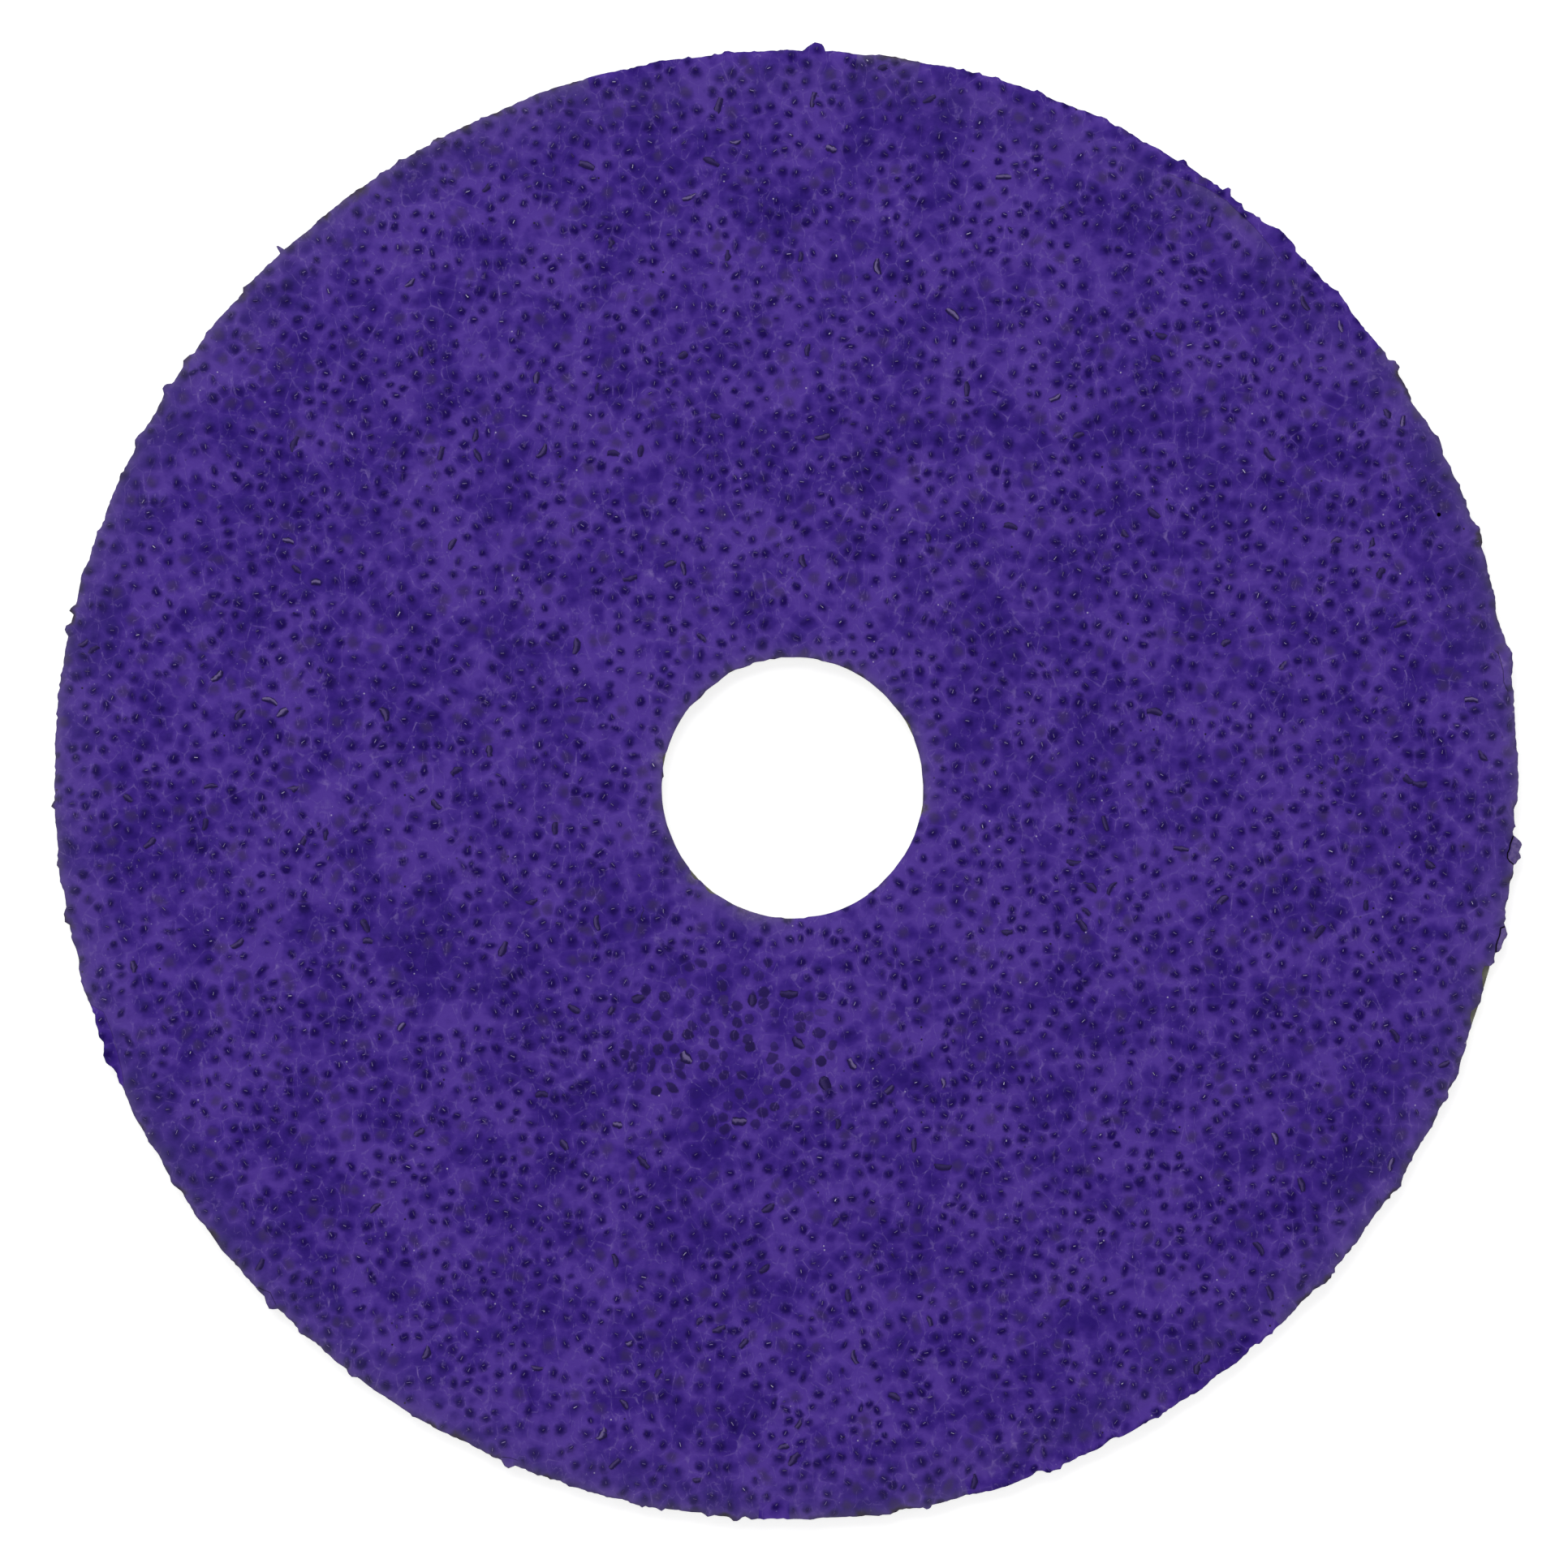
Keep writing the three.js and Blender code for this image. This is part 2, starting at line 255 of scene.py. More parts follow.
rim = fray(rim, RIM_CENTRE, RIM_WANDER, RIM_KNOBS, 3.0, 1)
hole = fray(hole, np.zeros(2), HOLE_WANDER, 0.0, 11.0, -1)
rim = np.clip(rim, np.array(cad_low[:2]) / MM + INSIDE_BOX, np.array(cad_high[:2]) / MM - INSIDE_BOX)
rim_turn, rim_reach = about(rim, RIM_CENTRE)
hole_turn, hole_reach = about(hole, np.zeros(2))


def rim_gap(points):
    """How far inside the rim each point lies, in mm; less than nothing outside it."""
    away = points - RIM_CENTRE
    turn = np.arctan2(away[:, 1], away[:, 0])
    return np.interp(turn, rim_turn, rim_reach, period=2 * math.pi) - np.hypot(away[:, 0], away[:, 1])


def hole_gap(points):
    """How far outside the hole each point lies, in mm; less than nothing inside it."""
    turn = np.arctan2(points[:, 1], points[:, 0])
    return np.hypot(points[:, 0], points[:, 1]) - np.interp(turn, hole_turn, hole_reach, period=2 * math.pi)


# The grains fall on the wet bond coat about 1.2 mm apart, 0.41 to the square millimetre.
GRAINS_PER_MM2 = 0.412
GRAIN_APART = 1.22
GRAIN_APART_SPREAD = 0.30
GRAIN_APART_LEAST = 0.60
SEARCH_SQUARE = 2
FIELD_OUTER = 64.4
FIELD_INNER = 10.0
draw = np.random.default_rng(SEED)
wanted = int(GRAINS_PER_MM2 * math.pi * (FIELD_OUTER ** 2 - FIELD_INNER ** 2))
lying = {}
grains = []
while len(grains) < wanted:
    x, y = draw.uniform(-FIELD_OUTER, FIELD_OUTER, 2)
    spacing = max(GRAIN_APART_LEAST, draw.normal(GRAIN_APART, GRAIN_APART_SPREAD))
    if not FIELD_INNER < math.hypot(x, y) < FIELD_OUTER:
        continue
    row, column = int(x // SEARCH_SQUARE), int(y // SEARCH_SQUARE)
    near = [p for i in (-1, 0, 1) for j in (-1, 0, 1) for p in lying.get((row + i, column + j), ())]
    if all((p[0] - x) ** 2 + (p[1] - y) ** 2 > spacing * spacing for p in near):
        lying.setdefault((row, column), []).append((x, y))
        grains.append((x, y))
grains = np.array(grains)

# Where the cover coat pooled, under the hole, the grains show as blunt round spots.
POOL_AT = seen_at([(900, 1287)])[0]
POOL_HALF = np.array((9.7, 7.9))
ROD_SHARE = 0.035
SUNK_SHARE = 0.12
FAINT_SHARE = 0.06
LONG_SHARE = 0.14
POOL_ROD_SHARE = 0.3
in_pool = np.hypot(*((grains - POOL_AT) / POOL_HALF).T) < 1
kind = draw.choice(
    ["tip", "rod", "sunk", "faint"], len(grains),
    p=[1 - ROD_SHARE - SUNK_SHARE - FAINT_SHARE, ROD_SHARE, SUNK_SHARE, FAINT_SHARE],
)
kind[in_pool & (kind == "sunk") & (draw.random(len(grains)) < POOL_ROD_SHARE)] = "rod"
is_tip, is_rod, is_sunk, is_faint = (kind == k for k in ("tip", "rod", "sunk", "faint"))
grain_turn = draw.uniform(0, math.pi, len(grains))
spot_size = draw.normal(0.66, 0.09, len(grains)).clip(0.42, 0.9)
spot_stretch = draw.uniform(1.0, 1.3, len(grains))
is_long = draw.random(len(grains)) < LONG_SHARE
spot_dark = draw.normal(0.95, 0.22, len(grains)).clip(0.3, 1.3)
mound_height = draw.normal(0.34, 0.07, len(grains)).clip(0.15, 0.46)
mound_width = draw.normal(0.36, 0.04, len(grains)).clip(0.26, 0.46)
# How some grains differ from the rest: which ones, in what, and between which values.
for part, values, low, high in (
    (is_long, spot_stretch, 1.5, 2.3), (is_sunk, spot_size, 0.75, 0.95), (is_sunk, spot_dark, 0.0, 0.16),
    (is_sunk, mound_height, 0.05, 0.14), (is_faint, spot_dark, 0.1, 0.4),
    (is_faint, mound_height, 0.08, 0.2), (is_rod, spot_stretch, 1.9, 2.6), (is_rod, spot_size, 0.5, 0.62),
    (is_rod, spot_dark, 0.6, 1.0), (is_rod, mound_height, 0.12, 0.2), (in_pool, spot_size, 0.50, 0.62),
):
    values[part] = draw.uniform(low, high, part.sum())

# Cells: each grain draws the resin to itself, so the craze lines run half way between grains. Lines
# that end more than 1.2 mm past an edge, or far out where cells have no end, are left out.
SEAM_PAST = 1.2
FAR_OFF = 80
flat = [Vector(p) for p in grains.tolist()]
trios = np.array(geometry.delaunay_2d_cdt(flat, [], [], 0, 1e-7)[2])
a, b, c = grains[trios[:, 0]], grains[trios[:, 1]], grains[trios[:, 2]]
ab, ac = b - a, c - a
cross = 2 * (ab[:, 0] * ac[:, 1] - ab[:, 1] * ac[:, 0])
ab2, ac2 = (ab ** 2).sum(1), (ac ** 2).sum(1)
meet = a + np.c_[ac[:, 1] * ab2 - ab[:, 1] * ac2, ab[:, 0] * ac2 - ac[:, 0] * ab2] / cross[:, None]
shared = {}
for index, (i, j, k) in enumerate(trios.tolist()):
    for pair in ((i, j), (j, k), (k, i)):
        shared.setdefault((min(pair), max(pair)), []).append(index)
seams = np.array([(*pair, *both) for pair, both in shared.items() if len(both) == 2])
usable = (np.abs(rim_gap(meet)) < FAR_OFF) & (rim_gap(meet) > -SEAM_PAST) & (hole_gap(meet) > -SEAM_PAST)
seams = seams[usable[seams[:, 2]] & usable[seams[:, 3]]]


def seen_round(places):
    """Where places read off the unrolled rim, as degrees and pixels from its centre, lie in mm."""
    turn, reach = np.radians([p[0] for p in places]), np.array([p[1] for p in places]) / PX_PER_MM
    return RIM_CENTRE + np.c_[np.cos(turn), np.sin(turn)] * reach[:, None]


# Cracks: two run behind the flakes at the rim. Hair cracks: one left of the hole and three at the rim.
# The lip lines are where a lip of cover coat ends inside the rim. The pit is small, round and deep.
CRACK_HALF = 0.085
HAIR_HALF = 0.045
CRACKS = [
    seen_at([(1864.3, 1031), (1861, 1040), (1860, 1046), (1857.5, 1051), (1857.5, 1057), (1860, 1061),
             (1865, 1065)]),
    seen_at([(1853.5, 1142), (1849, 1143.5), (1848.5, 1149), (1847.5, 1154), (1845, 1160), (1843.5, 1165),
             (1843.3, 1173.5)]),
]
HAIR_CRACKS = [
    seen_at([(792.4, 1118.5), (793.2, 1122), (791.3, 1125), (790.2, 1130)]),
    seen_round([(7.2, 895), (8.0, 892), (9.0, 893.4), (10.3, 891)]),
    seen_round([(223.8, 899), (224.6, 894), (225.0, 896.5), (225.5, 899)]),
    seen_round([(247.15, 901), (247.7, 898.6), (248.2, 898)]),
]
LIP_LINES = [
    seen_round([(46.5, 884), (48, 890), (50, 895), (52, 897), (53, 899), (55, 897), (56, 893), (58, 885)]),
    seen_round([(197.7, 899), (198.5, 888), (200, 886.5), (202, 889), (203.5, 893), (204.6, 898)]),
]
FLAKES = [
    seen_at([(1861, 1040), (1860, 1046), (1857.5, 1051), (1857.5, 1057), (1860, 1061), (1864, 1067),
             (1880, 1070), (1880, 1030), (1864.3, 1029)]),
    seen_at([(1849, 1143.5), (1848.5, 1149), (1847.5, 1154), (1845, 1160), (1843.5, 1165), (1843.3, 1176),
             (1862, 1176), (1862, 1139), (1853, 1139)]),
]
PIT_AT = seen_at([(1773, 634)])[0]
PIT_RADIUS = 0.19


def gap_to(points, line):
    """How far each point is from a line of several lengths, in mm."""
    nearest = np.full(len(points), 1e9)
    for p, q in zip(line[:-1], line[1:]):
        along = q - p
        part = (((points - p) @ along) / (along @ along)).clip(0, 1)
        nearest = np.minimum(nearest, np.hypot(*(points - p - part[:, None] * along).T))
    return nearest


def gap_to_any(points, group):
    """How far each point is from the nearest line of a group, in mm."""
    return np.min([gap_to(points, line) for line in group], axis=0)


def within(points, outline):
    """Which points lie inside this closed outline."""
    inside = np.zeros(len(points), bool)
    for (x0, y0), (x1, y1) in zip(outline, np.roll(outline, -1, axis=0)):
        spans = (y0 > points[:, 1]) != (y1 > points[:, 1])
        inside ^= spans & (points[:, 0] < (x1 - x0) * (points[:, 1] - y0) / (y1 - y0 + 1e-12) + x0)
    return inside


# Stretches of the rim, in degrees, where the cover coat ran over the edge and stands as a clean lip.
# One of them ends on its own lip line. The others end on a radial line between these depths in mm.
RESIN_LIPS = ((36.3, 79.5), (84.5, 105.8), (197.6, 205.5), (267.8, 270.2), (284.3, 312.3))
LIP_JOINED = (197.6, 205.5)
LIP_END = (0.14, 2.0, 0.3)

# The points of the fine coat: grain, two rings round it, and its cell's corners and sides.
INNER_RING = 0.27
OUTER_RING = 0.64
KEEP_OFF = 0.13
CRACK_CLEAR = 0.16
HAIR_CLEAR = 0.1
PIT_CLEAR = 0.12
SEAM_BOW = 0.09
SEAM_SHORT = 0.25
pairs = np.array([pair for pair, both in shared.items()])
pairs = np.r_[pairs, pairs[:, ::-1]]
spread = grains[pairs[:, 1]] - grains[pairs[:, 0]]


def ring(count, seed_turn):
    """Directions round every grain, and how far off its cell's side is in each, in mm."""
    turn = seed_turn[:, None] + np.arange(count) * 2 * math.pi / count
    turn = turn + draw.uniform(-0.16, 0.16, turn.shape)
    way = np.stack([np.cos(turn), np.sin(turn)], -1)
    toward = (way[pairs[:, 0]] * spread[:, None, :]).sum(-1)
    side = np.where(toward > 1e-6, (spread ** 2).sum(1)[:, None] / (2 * np.maximum(toward, 1e-6)), 9.0)
    reach = np.full((len(grains), count), 9.0)
    np.minimum.at(reach, pairs[:, 0], side)
    return way, reach


inner_way, inner_side = ring(5, grain_turn)
outer_way, outer_side = ring(6, grain_turn + 0.4)
inner = np.minimum(INNER_RING, 0.4 * inner_side)
outer = np.minimum(OUTER_RING, 0.7 * outer_side)
inner_points = (grains[:, None] + inner_way * inner[..., None]).reshape(-1, 2)
outer_points = (grains[:, None] + outer_way * outer[..., None]).reshape(-1, 2)
loose = np.r_[grains, inner_points, outer_points]


def kept(points, margin):
    """Which points keep this far off both edges, and clear of every crack and of the pit."""
    clear = gap_to_any(points, CRACKS) > CRACK_CLEAR
    clear &= gap_to_any(points, HAIR_CRACKS + LIP_LINES) > HAIR_CLEAR
    clear &= np.hypot(*(points - PIT_AT).T) > PIT_RADIUS + PIT_CLEAR
    return (rim_gap(points) > margin) & (hole_gap(points) > margin) & clear


loose = loose[kept(loose, KEEP_OFF)]
ends = meet[seams[:, 2:]]
seam_length = np.hypot(*(ends[:, 1] - ends[:, 0]).T)
seam_across = (ends[:, 1] - ends[:, 0])[:, ::-1] * (1, -1) / np.maximum(seam_length, 1e-9)[:, None]
bow = draw.uniform(-SEAM_BOW, SEAM_BOW, len(ends)) * np.minimum(1, seam_length)
middle = ends.mean(1) + seam_across * bow[:, None]
has_middle = seam_length > SEAM_SHORT
upright = np.abs(ends[:, 1, 1] - ends[:, 0, 1]) / np.maximum(seam_length, 1e-9)
seam_craze = draw.beta(1.2, 1.3, len(ends)) * (0.35 + 0.65 * upright)

points = [loose, meet, middle]
base = np.cumsum([0] + [len(p) for p in points])
lines = []
for index, (seam, bends) in enumerate(zip(seams[:, 2:], has_middle)):
    p, q, m = base[1] + seam[0], base[1] + seam[1], base[2] + index
    lines += [(p, m), (m, q)] if bends else [(p, q)]


def add_line(line, closed):
    """Adds a line of points that the triangles must follow."""
    start = sum(len(p) for p in points)
    points.append(line)
    count = len(line)
    for k in range(count if closed else count - 1):
        lines.append((start + k, start + (k + 1) % count))


add_line(rim, True)
add_line(hole, True)
for half, followed in ((CRACK_HALF, CRACKS), (HAIR_HALF, HAIR_CRACKS + LIP_LINES)):
    for line in followed:
        way = np.gradient(line, axis=0)
        side = np.c_[-way[:, 1], way[:, 0]] / np.hypot(*way.T)[:, None]
        for offset in (-1, 0, 1):
            add_line(line + side * offset * half, False)
for bound in np.ravel(RESIN_LIPS):
    if bound not in LIP_JOINED:
        here = math.radians(bound)
        reach = float(np.interp(here, rim_turn, rim_reach, period=2 * math.pi))
        depth = np.arange(*LIP_END)
        add_line(RIM_CENTRE + np.array((math.cos(here), math.sin(here))) * (reach - depth)[:, None], False)
circle = np.linspace(0, 2 * math.pi, 12, endpoint=False)
for share in (1.0, 0.72):
    add_line(PIT_AT + np.c_[np.cos(circle), np.sin(circle)] * PIT_RADIUS * share, True)
points.append(PIT_AT[None])

points = np.concatenate(points)
unused = np.ones(len(points), bool)
unused[base[0]:base[1]] = False
unused[np.array(lines).ravel()] = False
unused[-1] = False
renumber = np.cumsum(~unused) - 1
points = points[~unused]
lines = [(int(renumber[i]), int(renumber[j])) for i, j in lines]
made = geometry.delaunay_2d_cdt([Vector(p) for p in points.tolist()], lines, [], 0, 1e-6)
plan = np.array([v[:] for v in made[0]])
faces = np.array(made[2])
middles = plan[faces].mean(1)
faces = faces[(rim_gap(middles) > 0) & (hole_gap(middles) > 0)]
spread_out = plan[faces]
area = np.cross(spread_out[:, 1] - spread_out[:, 0], spread_out[:, 2] - spread_out[:, 0])
faces[area < 0] = faces[area < 0][:, ::-1]
used, faces = np.unique(faces, return_inverse=True)
faces = faces.reshape(-1, 3)
plan = plan[used]

# Each point's nearest grains, for the mounds and for what the material draws over each grain.
grain_tree = kdtree.KDTree(len(grains))
for index, (x, y) in enumerate(grains.tolist()):
    grain_tree.insert((x, y, 0.0), index)
grain_tree.balance()
nearest = np.array([[(i, d) for _, i, d in grain_tree.find_n((x, y, 0.0), 3)] for x, y in plan.tolist()])
near_grain, near_gap = nearest[..., 0].astype(int), nearest[..., 1]


def local(points, grain):
    """Each point seen from a grain: along and across it, in parts of its spot."""
    away = points - grains[grain]
    turn = grain_turn[grain]
    along = np.cos(turn) * away[..., 0] + np.sin(turn) * away[..., 1]
    across = np.cos(turn) * away[..., 1] - np.sin(turn) * away[..., 0]
    size, stretch = spot_size[grain], np.sqrt(spot_stretch[grain])
    return along / (size * stretch), across / (size / stretch)


def smooth(value, low, high):
    """0 below the low value and 1 above the high one, with a soft rise between them."""
    part = ((value - low) / (high - low)).clip(0, 1)
    return part * part * (3 - 2 * part)


def mounds(points, near):
    """How far the resin stands up over these grains at each point."""
    height = np.zeros(len(points))
    for g in near.T:
        u, v = local(points, g)
        height += mound_height[g] * np.exp(-0.5 * (np.hypot(u, v) * spot_size[g] / mound_width[g]) ** 2)
    return np.minimum(height, MOUND_MOST)


def waves(points, per_mm, seed):
    """A smooth rise and fall of the poured resin, between about -1 and 1."""
    return np.array([noise.noise(Vector((x * per_mm, y * per_mm, seed))) for x, y in points.tolist()])


MOUND_MOST = 0.5
SWELL = (0.22, 5.0)
SWELL_RISE = 0.05
RIPPLE = (1.9, 9.0)
RIPPLE_RISE = 0.03
POOL_FLATTER = 0.45
EDGE_DROP = 0.06
FLAKE_LIFT = 0.12
CRACK_FLOOR = COAT_FOOT + 0.3
PIT_FLOOR = COAT_FOOT + 0.15
COAT_MOST = 1.93
mound = mounds(plan, near_grain)
edge_gap = np.minimum(rim_gap(plan), hole_gap(plan))
pool = 1 - smooth(np.hypot(*((plan - POOL_AT) / POOL_HALF).T), 0.88, 1.08)
crack, hair, lip_line = (
    (gap_to_any(plan, group) < half * 0.5).astype(float)
    for group, half in ((CRACKS, CRACK_HALF), (HAIR_CRACKS, HAIR_HALF), (LIP_LINES, HAIR_HALF)))
pit = (np.hypot(*(plan - PIT_AT).T) < PIT_RADIUS * 0.8).astype(float)
flake = np.any([within(plan, outline) for outline in FLAKES], axis=0).astype(float)
rise = COAT_TOP + SWELL_RISE * waves(plan, *SWELL) + RIPPLE_RISE * waves(plan, *RIPPLE)
rise += mound * (1 - POOL_FLATTER * pool)
rise -= EDGE_DROP * (1 - smooth(edge_gap, -0.05, 0.4))
rise += FLAKE_LIFT * flake * smooth(gap_to_any(plan, CRACKS), 0.05, 0.4)
rise[crack > 0] = CRACK_FLOOR
rise[pit > 0] = PIT_FLOOR
rise = np.minimum(rise, COAT_MOST)

# Side walls: the broken edge drops from the top to the fibre, a little ragged on its way down.
WALL_ROWS = (0.3, 0.62, 0.85, 1.0)
follow = {}
for i, j, k in faces.tolist():
    for p, q in ((i, j), (j, k), (k, i)):
        if follow.get((q, p)):
            del follow[(q, p)]
        else:
            follow[(p, q)] = True
after = dict(follow.keys())
walls = []
while after:
    start = here = next(iter(after))
    loop = []
    while here in after:
        loop.append(here)
        here = after.pop(here)
    walls.append(loop)
walls.sort(key=len, reverse=True)
body = [np.c_[plan, rise]]
body_faces = faces.tolist()
wall_faces = []
count = len(plan)
feet = []
for number, loop in enumerate(walls[:2]):
    centre = RIM_CENTRE if number == 0 else np.zeros(2)
    away = plan[loop] - centre
    way = away / np.hypot(*away.T)[:, None] * (1 if number == 0 else -1)
    above = np.array(loop)
    for row, drop in enumerate(WALL_ROWS):
        cut = np.array([
            0.05 + 0.06 * noise.noise(Vector((x * 2.4, y * 2.4, 20.0 + 3 * row)))
            for x, y in plan[loop].tolist()
        ]).clip(0, 0.12) * (0.4 if drop == 1.0 else 1.0)
        level = rise[loop] * (1 - drop) + COAT_FOOT * drop
        body.append(np.c_[plan[loop] - way * cut[:, None], level])
        below = count + np.arange(len(loop))
        count += len(loop)
        wall_faces += np.c_[above, below, np.roll(below, -1), np.roll(above, -1)].tolist()
        above = below
    feet.append(above)
foot_points = np.concatenate(body)
foot_index = np.concatenate(feet)
foot_plan = foot_points[foot_index, :2]
foot_lines = []
start = 0
for loop in feet:
    foot_lines += [(start + k, start + (k + 1) % len(loop)) for k in range(len(loop))]
    start += len(loop)
under = geometry.delaunay_2d_cdt([Vector(p) for p in foot_plan.tolist()], foot_lines, [], 0, 1e-7)
under_faces = np.array(under[2])
under_at = np.array([ids[0] for ids in under[3]])
under_middle = np.array([v[:] for v in under[0]])[under_faces].mean(1)
inside = (rim_gap(under_middle) > 0.0) & (hole_gap(under_middle) > 0.0)
under_faces = foot_index[under_at[under_faces[inside]]][:, ::-1]

coat_points = np.concatenate(body)
coat_faces = body_faces + wall_faces + under_faces.tolist()
coat_mesh = bpy.data.meshes.new("resin_coat")
coat_mesh.from_pydata((coat_points * MM).tolist(), [], coat_faces)
coat_mesh.validate()
coat_mesh.update()


def put_in(name, data):
    """An object in the scene that shows this mesh, lamp or camera."""
    made = bpy.data.objects.new(name, data)
    bpy.context.scene.collection.objects.link(made)
    return made


def note(mesh, name, domain, values):
    """Writes one number for each point, corner or face, for the material to read."""
    kept_there = mesh.attributes.new(name, "FLOAT", domain).data
    kept_there.foreach_set("value", np.asarray(values, dtype=np.float32))


# What the material is told about each place on the coat.
coat = put_in("resin_coat", coat_mesh)
extra = len(coat_points) - len(plan)
seam_gap = (near_gap[:, 1] - near_gap[:, 0]) / 2
seam_points = kdtree.KDTree(3 * len(ends))
for index, trio in enumerate(np.stack([ends[:, 0], middle, ends[:, 1]], 1).tolist()):
    for x, y in trio:
        seam_points.insert((x, y, 0.0), index)
seam_points.balance()
craze = np.zeros(len(plan))
for index in np.flatnonzero(seam_gap < 0.06):
    met = seam_points.find_n((*plan[index], 0.0), 3)
    craze[index] = np.mean([seam_craze[i] for _, i, gap in met if gap < met[0][2] + 0.02])
# Bare grain at the rim and round the hole: olive places, each with its middle and half its width in
# degrees, and its depth in mm. The hole has one long clean lip, and crumbs of pale resin.
BARE_SPOTS = (
    (19.5, 0.8, 0.7), (33, 1.6, 0.35), (81.5, 1.5, 0.3), (107, 0.5, 0.4), (113.5, 0.5, 0.4),
    (116, 0.5, 0.5), (118.5, 0.5, 0.4), (126, 1.0, 0.9), (129, 0.4, 0.4), (137.8, 0.6, 1.0),
    (144.8, 0.5, 0.5), (166.8, 1.2, 0.4), (181.5, 0.6, 0.4), (190.8, 0.8, 0.4), (208, 0.6, 0.3),
    (214, 0.6, 0.3), (218.3, 0.8, 0.6), (221, 0.5, 0.4), (229, 0.5, 0.4), (241, 0.6, 0.5),
    (243.3, 0.8, 1.0), (246.5, 0.5, 0.4), (251, 0.5, 0.3), (265.5, 0.9, 0.5), (276, 0.8, 0.7),
    (279, 1.2, 0.3), (315, 0.8, 0.4), (317.5, 0.5, 0.4), (325.8, 0.8, 0.3), (352.6, 0.6, 0.9),
)
HOLE_BARE_SPOTS = (
    (58.6, 2.4, 0.45), (66, 2.4, 0.3), (98.5, 1.6, 0.2), (135.8, 2.0, 0.22), (174.7, 1.3, 0.5),
    (249, 3, 0.3), (351.3, 2.2, 0.5),
)
HOLE_LIP = (270, 347.5)
HOLE_CRUMBS = ((167.5, 3, 0.9), (222, 2.6, 0.7), (250.5, 6, 1.1), (351, 2.5, 0.5))


def bearings(points, centre):
    """The bearings of these points about a centre, in degrees from the right."""
    away = points - centre
    return np.degrees(np.arctan2(away[:, 1], away[:, 0])) % 360


def apart(turn, middle):
    """How far round these bearings are from a middle one, in degrees."""
    return np.abs((turn - middle + 180) % 360 - 180)


def patches(turn, gap, spots):
    """1 in the middle of each of these places at an edge and 0 outside them, with soft ends."""
    mask = np.zeros(len(turn))
    for middle, half, depth in spots:
        mask = np.maximum(mask, (1 - smooth(apart(turn, middle), 0.4 * half, 1.3 * half)) * (
            1 - smooth(gap, 0.3 * depth, 1.2 * depth)))
    return mask


# A dull haze of handling lies over the coat near its edges, but not on the clean lips of resin.
gap_in, gap_out = rim_gap(plan), hole_gap(plan)
bearing, hole_bearing = bearings(plan, RIM_CENTRE), bearings(plan, np.zeros(2))
rim_haze = np.interp(
    gap_in, (0.0, 0.2, 0.4, 0.6, 0.83, 1.2, 1.7, 2.6, 3.8, 5.5),
    (0.36, 0.28, 0.21, 0.155, 0.11, 0.08, 0.06, 0.04, 0.02, 0))
hole_haze = np.interp(
    gap_out, (0.0, 0.3, 0.55, 0.9, 1.3, 1.9, 3.0), (0.33, 0.21, 0.13, 0.07, 0.04, 0.02, 0))
hole_haze *= np.where(apart(hole_bearing, sum(HOLE_LIP) / 2) < (HOLE_LIP[1] - HOLE_LIP[0]) / 2, 0.15, 1.0)
under_lip = within(plan, np.r_[LIP_LINES[0], seen_round([(58, 872), (46.5, 872)])]) & (gap_in > 0.2)
rim_haze = rim_haze + 0.1 * under_lip * (1 - smooth(gap_in, 1.0, 2.2))
paler = np.interp(gap_out, (0.0, 0.5, 1.5, 3.0, 6.0, 10.0, 14.0), (0.14, 0.12, 0.09, 0.06, 0.04, 0.02, 0))
bare = np.maximum(patches(bearing, gap_in, BARE_SPOTS), patches(hole_bearing, gap_out, HOLE_BARE_SPOTS))
crumbs = patches(hole_bearing, gap_out, HOLE_CRUMBS)
for name, on_top, on_walls in (
    ("seam_gap", seam_gap, 0.5), ("craze", craze, 0), ("rim_haze", rim_haze, 0),
    ("hole_haze", hole_haze, 0), ("paler", paler, 0), ("bare", bare, 0.6),
    ("flake", np.maximum(flake, crumbs), 0), ("hair", np.maximum(hair, 0.5 * lip_line), 0),
    ("pool", pool, 0), ("crack", np.maximum(crack, pit), 0),
):
    note(coat_mesh, name, "POINT", np.r_[on_top, np.full(extra, float(on_walls))])

top_middle = plan[faces].mean(1)
found = np.array([[i for _, i, _ in grain_tree.find_n((x, y, 0.0), 2)] for x, y in top_middle.tolist()])
corner_points = plan[faces]
side_corners = sum(len(f) for f in coat_faces) - 3 * len(faces)
side_faces = len(coat_faces) - len(faces)
for order, name in enumerate(("own", "next")):
    g = np.repeat(found[:, order, None], 3, axis=1)
    u, v = local(corner_points, g)
    note(coat_mesh, name + "_along", "CORNER", np.r_[u.ravel(), np.full(side_corners, 5.0)])
    note(coat_mesh, name + "_across", "CORNER", np.r_[v.ravel(), np.full(side_corners, 5.0)])
    note(coat_mesh, name + "_dark", "FACE", np.r_[spot_dark[found[:, order]], np.zeros(side_faces)])
    note(coat_mesh, name + "_sunk", "FACE", np.r_[
        is_sunk[found[:, order]] * 1.0 + is_rod[found[:, order]] * 0.6, np.zeros(side_faces)])

